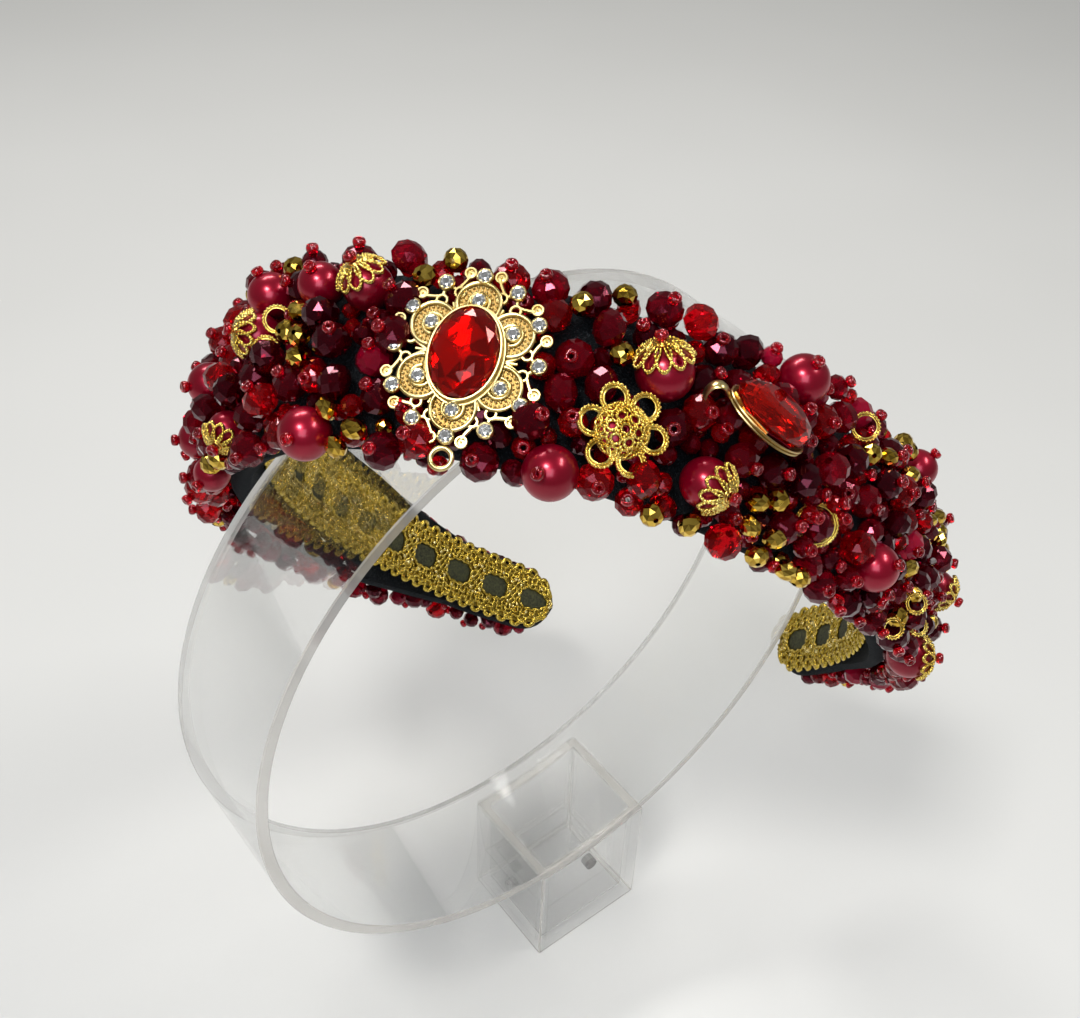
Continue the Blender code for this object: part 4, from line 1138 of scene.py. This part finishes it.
def cut_stone(half, height, bottom, swell):
    """An oval brilliant: low back, girdle, three rows of crown facets and a table. swell makes it fuller."""
    rows = (
        (0.40 + 3 * swell, 0.0, 0.5), (0.78 + swell, 0.12, 0), (1.0, 0.30, 0.5), (1.0, 0.38, 0.5),
        (0.90 + swell / 4, 0.64, 0), (0.74 + swell / 2, 0.87, 0.5), (0.54 + swell / 4, 1.0, 0),
    )
    return oval(half, [(share, bottom + level * height, shift) for share, level, shift in rows], 12)


def foil(half, bottom, height):
    """The bright foil behind a stone: a faceted dish that rises to the girdle."""
    girdle = bottom + 0.24 * height
    rows = (
        (1.0, bottom - 0.06 * MM, 0.5), (1.0, girdle, 0.5), (0.98, girdle, 0.5),
        (0.62, bottom + 0.09 * height, 0), (0.18, bottom - 0.02 * MM, 0.5),
    )
    return oval(half, rows, 9)


def make_stone(name, place, half, height, bottom, foil_bottom, foil_height, swell=0.0):
    """An oval stone and its foil, lit on one side and in painted shade on the other but for a few facets."""
    stone = Heap(cut_stone(half, height, bottom, swell), place, smooth=False)
    make_piece(f"{name}_cut_stone", stone, ["stone"], [f"{name}_stone"])
    points, faces = foil(half, foil_bottom, foil_height)
    back = Heap((points, faces), place, smooth=False)
    # painted shade: the foil's half past the middle takes the darker copy, the other half stays lit, and
    # every fifth facet swaps
    painted_shade_half = [points[list(face)].mean(axis=0)[0] > 0.3 * MM for face in faces]
    back.kinds = [int(painted_shade_half[k] != (k % 5 == 3)) for k in range(len(faces))]
    make_piece(f"{name}_foil", back, ["foil", "foil_painted_shade"])


def bezel(half, wall, low, high):
    """An oval rim with a rounded top and an inward lip."""
    sides = 48
    points = []
    profile = (
        (wall, low), (wall, high - 0.15 * MM), (wall - 0.12 * MM, high),
        (0.05 * MM, high), (-0.08 * MM, high - 0.2 * MM), (0.0, low),
    )
    for extra, height in profile:
        for k in range(sides):
            turn = math.tau * k / sides
            points.append(((half.x + extra) * math.cos(turn), (half.y + extra) * math.sin(turn), height))
    return np.array(points), ring_faces(len(profile), sides, closed=True)


def small_gem(radius):
    """A rhinestone: table, eight crown facets and a short wall."""
    rows = ((0.9, 0.0, 0), (1.0, 0.22, 0), (1.0, 0.30, 0), (0.80, 0.55, 0.5), (0.48, 0.70, 0))
    return scaled(turned(8, rows), radius)


def gem_cup(radius, height):
    """A turned cup for a small stone."""
    rows = (
        (radius * 0.7, 0, 0), (radius + 0.16 * MM, 0.25 * height, 0),
        (radius + 0.20 * MM, 0.8 * height, 0), (radius + 0.08 * MM, height, 0),
        (radius - 0.06 * MM, 0.9 * height, 0), (radius * 0.8, 0.6 * height, 0),
    )
    return turned(20, rows)


def lace_point(turn, reach):
    """A point of the medallion's plan, stretched from round to oval."""
    angle = math.radians(turn)
    return np.array((reach * math.cos(angle), (reach + LACE_OVAL) * math.sin(angle), 0.0))


def strip(outer, inner, low, high):
    """A flat band between two open rows of points in the XY plane."""
    count = len(outer)
    points = np.vstack((outer + (0, 0, low), inner + (0, 0, low), outer + (0, 0, high), inner + (0, 0, high)))
    faces = []
    for k in range(count - 1):
        a, b, c, d = k, count + k, 2 * count + k, 3 * count + k
        faces += [(c, c + 1, d + 1, d), (a, b, b + 1, a + 1), (a, a + 1, c + 1, c), (b, d, d + 1, b + 1)]
    last = count - 1
    faces += [(0, 2 * count, 3 * count, count), (last, count + last, 3 * count + last, 2 * count + last)]
    return points, faces


HORSESHOE_SWEEP = 118
GEM_RADIUS = 1.12 * MM
# Scroll wires of the lace, on each side of a valley between two horseshoes: thickness, then rows of
# (degrees from the valley, reach). The V to the eyelet, and the stays to the valley's stone; in mm.
VALLEY_WIRES = (
    (0.25, ((0, 6.0), (5, 7.4), (8, 8.4))),
    (0.30, ((6, 9.7), (3.5, 10.2))),
    (0.28, ((12, 9.0), (15.5, 8.9))),
)
# The curl from a disc to the eyelet beside it: rows of (degrees from the horseshoe's tip, reach).
CURL = ((14.5, 10.7), (17.5, 10.2), (21.0, 9.75))
# A disc of the lace, hollowed in its middle: rows of (radius, height, shift).
DISC = (
    (0.5 * MM, -0.30 * MM, 0), (0.80 * MM, -0.15 * MM, 0),
    (0.62 * MM, -0.08 * MM, 0), (0.1 * MM, -0.14 * MM, 0),
)


def make_medallion():
    """The oval medallion: bezel, six beaded horseshoes, scrolls, eyelets, discs and small stones."""
    place = ornament_seat(MEDALLION)
    half = MEDALLION_STONE_HALF + Vector((0.25, 0.25)) * MM
    gold = Heap(bezel(half, 0.38 * MM, 0.1 * MM, MEDALLION_PLATE + BEZEL_HEIGHT - 0.3 * MM), place)
    gems = Heap()
    foot = half + Vector((0.55, 0.55)) * MM
    gold.add(tube(circle(foot.x, 64, (0, 0, 1.0 * MM), foot.y / foot.x), 0.22 * MM, closed=True), place)

    def wire(points, thick):
        """A scroll wire through points, softened by a curve between them."""
        gold.add(tube(smooth_path(np.array(points) + (0, 0, 0.45 * MM), 4), thick), place)

    def gem(centre, low):
        """A small stone in its cup."""
        spot = place @ moved(centre[0], centre[1], low)
        gold.add(gem_cup(GEM_RADIUS, 0.95 * MM), spot)
        gems.add(small_gem(GEM_RADIUS), spot @ moved(0, 0, 0.5 * MM), smooth=False)

    def horseshoe(tip):
        """A band between two wires, open towards the stone, with two rows of grains."""
        x, y, _ = lace_point(tip, 6.9 * MM)
        start, sweep = math.radians(tip) - math.radians(HORSESHOE_SWEEP), 2 * math.radians(HORSESHOE_SWEEP)
        span = {"start": start, "sweep": sweep, "whole": False}
        outer, inner = (circle(r, 28, (x, y, 0), **span) for r in (3.35 * MM, 1.60 * MM))
        # the band between the two wires is in the darker gold: painted shade
        gold.add(strip(outer, inner, 0.15 * MM, 0.40 * MM), place, kind=1)
        for path, thick in ((outer, 0.34 * MM), (inner, 0.30 * MM)):
            gold.add(tube(path + (0, 0, 0.80 * MM), thick, sides=8), place)
        for r, count in ((2.12 * MM, 13), (2.74 * MM, 17)):
            for spot in circle(r, count, (x, y, 0.62 * MM), **span):
                gold.grain(0.25 * MM, place, spot)

    for tip in range(90, 450, 60):
        valley = tip + 30
        horseshoe(tip)
        gem(lace_point(tip, 7.25 * MM), 0.45 * MM)
        gem(lace_point(tip, 11.25 * MM), 0.35 * MM)
        gem(lace_point(valley, 11.1 * MM), 0.35 * MM)
        wire([lace_point(valley, 6.2 * MM), lace_point(valley, 7.8 * MM)], 0.24 * MM)
        for side in (-1, 1):
            disc = lace_point(tip + side * 11.5, 11.9 * MM)
            spot = place @ moved(disc[0], disc[1], 0.5 * MM)
            gold.add(ring_shape(0.80 * MM, 0.22 * MM, 18), spot)
            gold.add(turned(16, DISC), spot)
            gold.grain(0.20 * MM, spot)
            eyelet = lace_point(valley - side * 9.0, 9.05 * MM)
            gold.add(ring_shape(0.78 * MM, 0.27 * MM, 18), place @ moved(eyelet[0], eyelet[1], 0.45 * MM))
            curl = [lace_point(tip + side * turn, reach * MM) for turn, reach in CURL]
            wire([disc * 0.96] + curl, 0.30 * MM)
            for thick, rows in VALLEY_WIRES:
                wire([lace_point(valley - side * turn, reach * MM) for turn, reach in rows], thick * MM)
    gold.add(ring_shape(1.6 * MM, 0.42 * MM, 32, 10), place @ moved(0, -15.9 * MM, 0.4 * MM))
    plate = circle(6.4 * MM, 49, (0, 0, 0), 7.8 / 6.4, whole=False)
    inside = circle(4.6 * MM, 49, (0, 0, 0), 6.4 / 4.6, whole=False)
    # the plate under the stone is in the darker gold: painted shade
    gold.add(strip(plate, inside, 0.1 * MM, 0.4 * MM), place, kind=1, smooth=False)
    finishes = ["pale_gold", "gold_floor_painted_shade"]
    piece = make_piece("medallion_filigree", gold, finishes, ["medallion_setting"])
    piece.data.set_sharp_from_angle(angle=math.radians(50))
    # painted light and shade: every other facet of the small stones takes the darker copy
    gems.kinds = [k % 2 for k in range(len(gems.faces))]
    make_piece("medallion_rhinestones", gems, ["rhinestone", "rhinestone_painted_shade"])
    size = MEDALLION_STONE_HALF + Vector((0.2, 0.2)) * MM
    make_stone(
        "medallion", place, size, MEDALLION_STONE_HEIGHT, MEDALLION_PLATE + GAP,
        MEDALLION_PLATE + 0.2 * MM, MEDALLION_STONE_HEIGHT)


def smooth_path(rows, per):
    """A soft curve through a few points."""
    if len(rows) < 3:
        return np.array([rows[0] + (rows[1] - rows[0]) * t for t in (0, 0.5, 1)])
    points = []
    padded = np.vstack((2 * rows[0] - rows[1], rows, 2 * rows[-1] - rows[-2]))
    for k in range(1, len(padded) - 2):
        a, b, c, d = padded[k - 1:k + 3]
        for t in np.arange(per) / per:
            bend, twist = 2 * a - 5 * b + 4 * c - d, 3 * b - a - 3 * c + d
            points.append(0.5 * (2 * b + (c - a) * t + bend * t ** 2 + twist * t ** 3))
    points.append(rows[-1])
    return np.array(points)


# The pendant's dish: rows of (share of its half size, height, shift), up the outside and down inside.
DISH = (
    (0.74, 0.05 * MM, 0), (0.88, 0.35 * MM, 0), (0.935, 0.80 * MM, 0), (0.945, 1.10 * MM, 0),
    (0.96, 1.40 * MM, 0), (0.93, 1.40 * MM, 0), (0.90, 1.15 * MM, 0), (0.5, 0.95 * MM, 0),
)
# The pendant's hook, a curled band: rows of (past the dish's end, height) in mm.
HOOK = (
    (0.6, 0.6), (-0.3, 1.0), (-1.1, 1.35), (-2.0, 1.3), (-2.7, 0.6), (-2.85, -0.5), (-2.5, -1.6),
    (-1.8, -2.4), (-1.2, -2.8),
)
HOOK_BREADTH = 2.6


def make_pendant():
    """The second stone: a high cut stone in a shallow polished dish with a double rim and a hook."""
    place = ornament_seat(PENDANT)
    outer = PENDANT_STONE_HALF + Vector((0.75, 0.75)) * MM
    # the dish between the rims is in the darker gold: painted shade
    cup = Heap(oval(outer, DISH, 64), place, kind=1)
    for height, reach in ((0.78, 0.955), (1.42, 0.965)):
        rim = circle(outer.x * reach, 72, (0, 0, height * MM), outer.y / outer.x)
        cup.add(tube(rim, 0.16 * MM, closed=True), place)
    path = smooth_path(np.array([(x * MM - outer.x, 0.0, z * MM) for x, z in HOOK]), 5)
    share = np.linspace(0, 1, len(path))
    thick = np.interp(share, (0, 0.2, 0.85, 1.0), np.array((0.28, 0.40, 0.40, 0.25)) * MM)
    cup.add(scaled(tube(path, thick, (0, 1, 0), sides=12), 1.0, HOOK_BREADTH, 1.0), place)
    piece = make_piece("pendant_mount", cup, ["pale_gold", "gold_floor_painted_shade"], ["pendant_cup"])
    piece.data.set_sharp_from_angle(angle=math.radians(50))
    size = PENDANT_STONE_HALF + Vector((0.25, 0.25)) * MM
    make_stone(
        "pendant", place, size, PENDANT_STONE_HEIGHT + 0.5 * MM, PENDANT_FLOOR + GAP,
        PENDANT_FLOOR + 0.12 * MM, PENDANT_STONE_HEIGHT, 0.12)


# Stage, light and camera

# Lamps: name, place, size, power and colour. All look at one spot.
LAMPS_AIM = Vector((0.02, 0.0, 0.15))
LAMPS = (
    ("key", (-0.40, -0.15, 0.95), (0.22, 0.15), 5.0, (1.0, 0.99, 0.97)),
    ("fill", (0.45, -0.30, 0.85), (0.40, 0.10), 3.0, (1.0, 0.99, 0.97)),
    ("back", (0.15, 0.55, 0.80), (0.45, 0.12), 3.5, (1.0, 0.99, 0.97)),
    ("window", (-0.45, -0.50, 0.75), (0.45, 0.45), 3.0, (0.80, 0.87, 1.0)),
)


def make_stage():
    """A pale floor, soft lights above and the photograph's camera."""
    scene = bpy.context.scene
    bpy.ops.mesh.primitive_plane_add(size=6)
    floor = bpy.context.object
    floor.name = "floor"
    floor.data.materials.append(MATERIALS["floor"])
    scene.view_settings.view_transform = "Standard"
    world = bpy.data.worlds.new("soft_room")
    scene.world = world
    world.use_nodes = True
    background = world.node_tree.nodes["Background"]
    background.inputs["Color"].default_value = (0.86, 0.88, 0.87, 1.0)
    background.inputs["Strength"].default_value = 0.24
    for name, spot, size, power, colour in LAMPS:
        light = bpy.data.lights.new(name, "AREA")
        light.shape = "RECTANGLE"
        light.size, light.size_y = size
        light.energy = power
        light.color = colour
        lamp = bpy.data.objects.new(name, light)
        lamp.location = spot
        lamp.rotation_euler = (LAMPS_AIM - Vector(spot)).to_track_quat("-Z", "Y").to_euler()
        scene.collection.objects.link(lamp)
    camera = bpy.data.cameras.new("camera")
    camera.lens = 43.90
    camera.sensor_width = 36
    camera.sensor_fit = "HORIZONTAL"
    camera.clip_start = 0.01
    forward = Vector((0.46765, 0.57879, -0.66806)).normalized()
    right = Vector((0.79316, -0.60836, 0.02815)).normalized()
    matrix = Matrix((right, right.cross(forward), -forward)).transposed().to_4x4()
    matrix.translation = EYE
    scene.camera = bpy.data.objects.new("camera", camera)
    scene.camera.matrix_world = matrix
    scene.collection.objects.link(scene.camera)


make_stage()
make_hoop()
make_base()
make_velvet()
make_braid()
placed = place_beads()
make_beads(placed)
for number, cap in enumerate(CAPS, 1):
    make_cap(number, cap)
make_collars(placed)
make_flower()
make_medallion()
make_pendant()
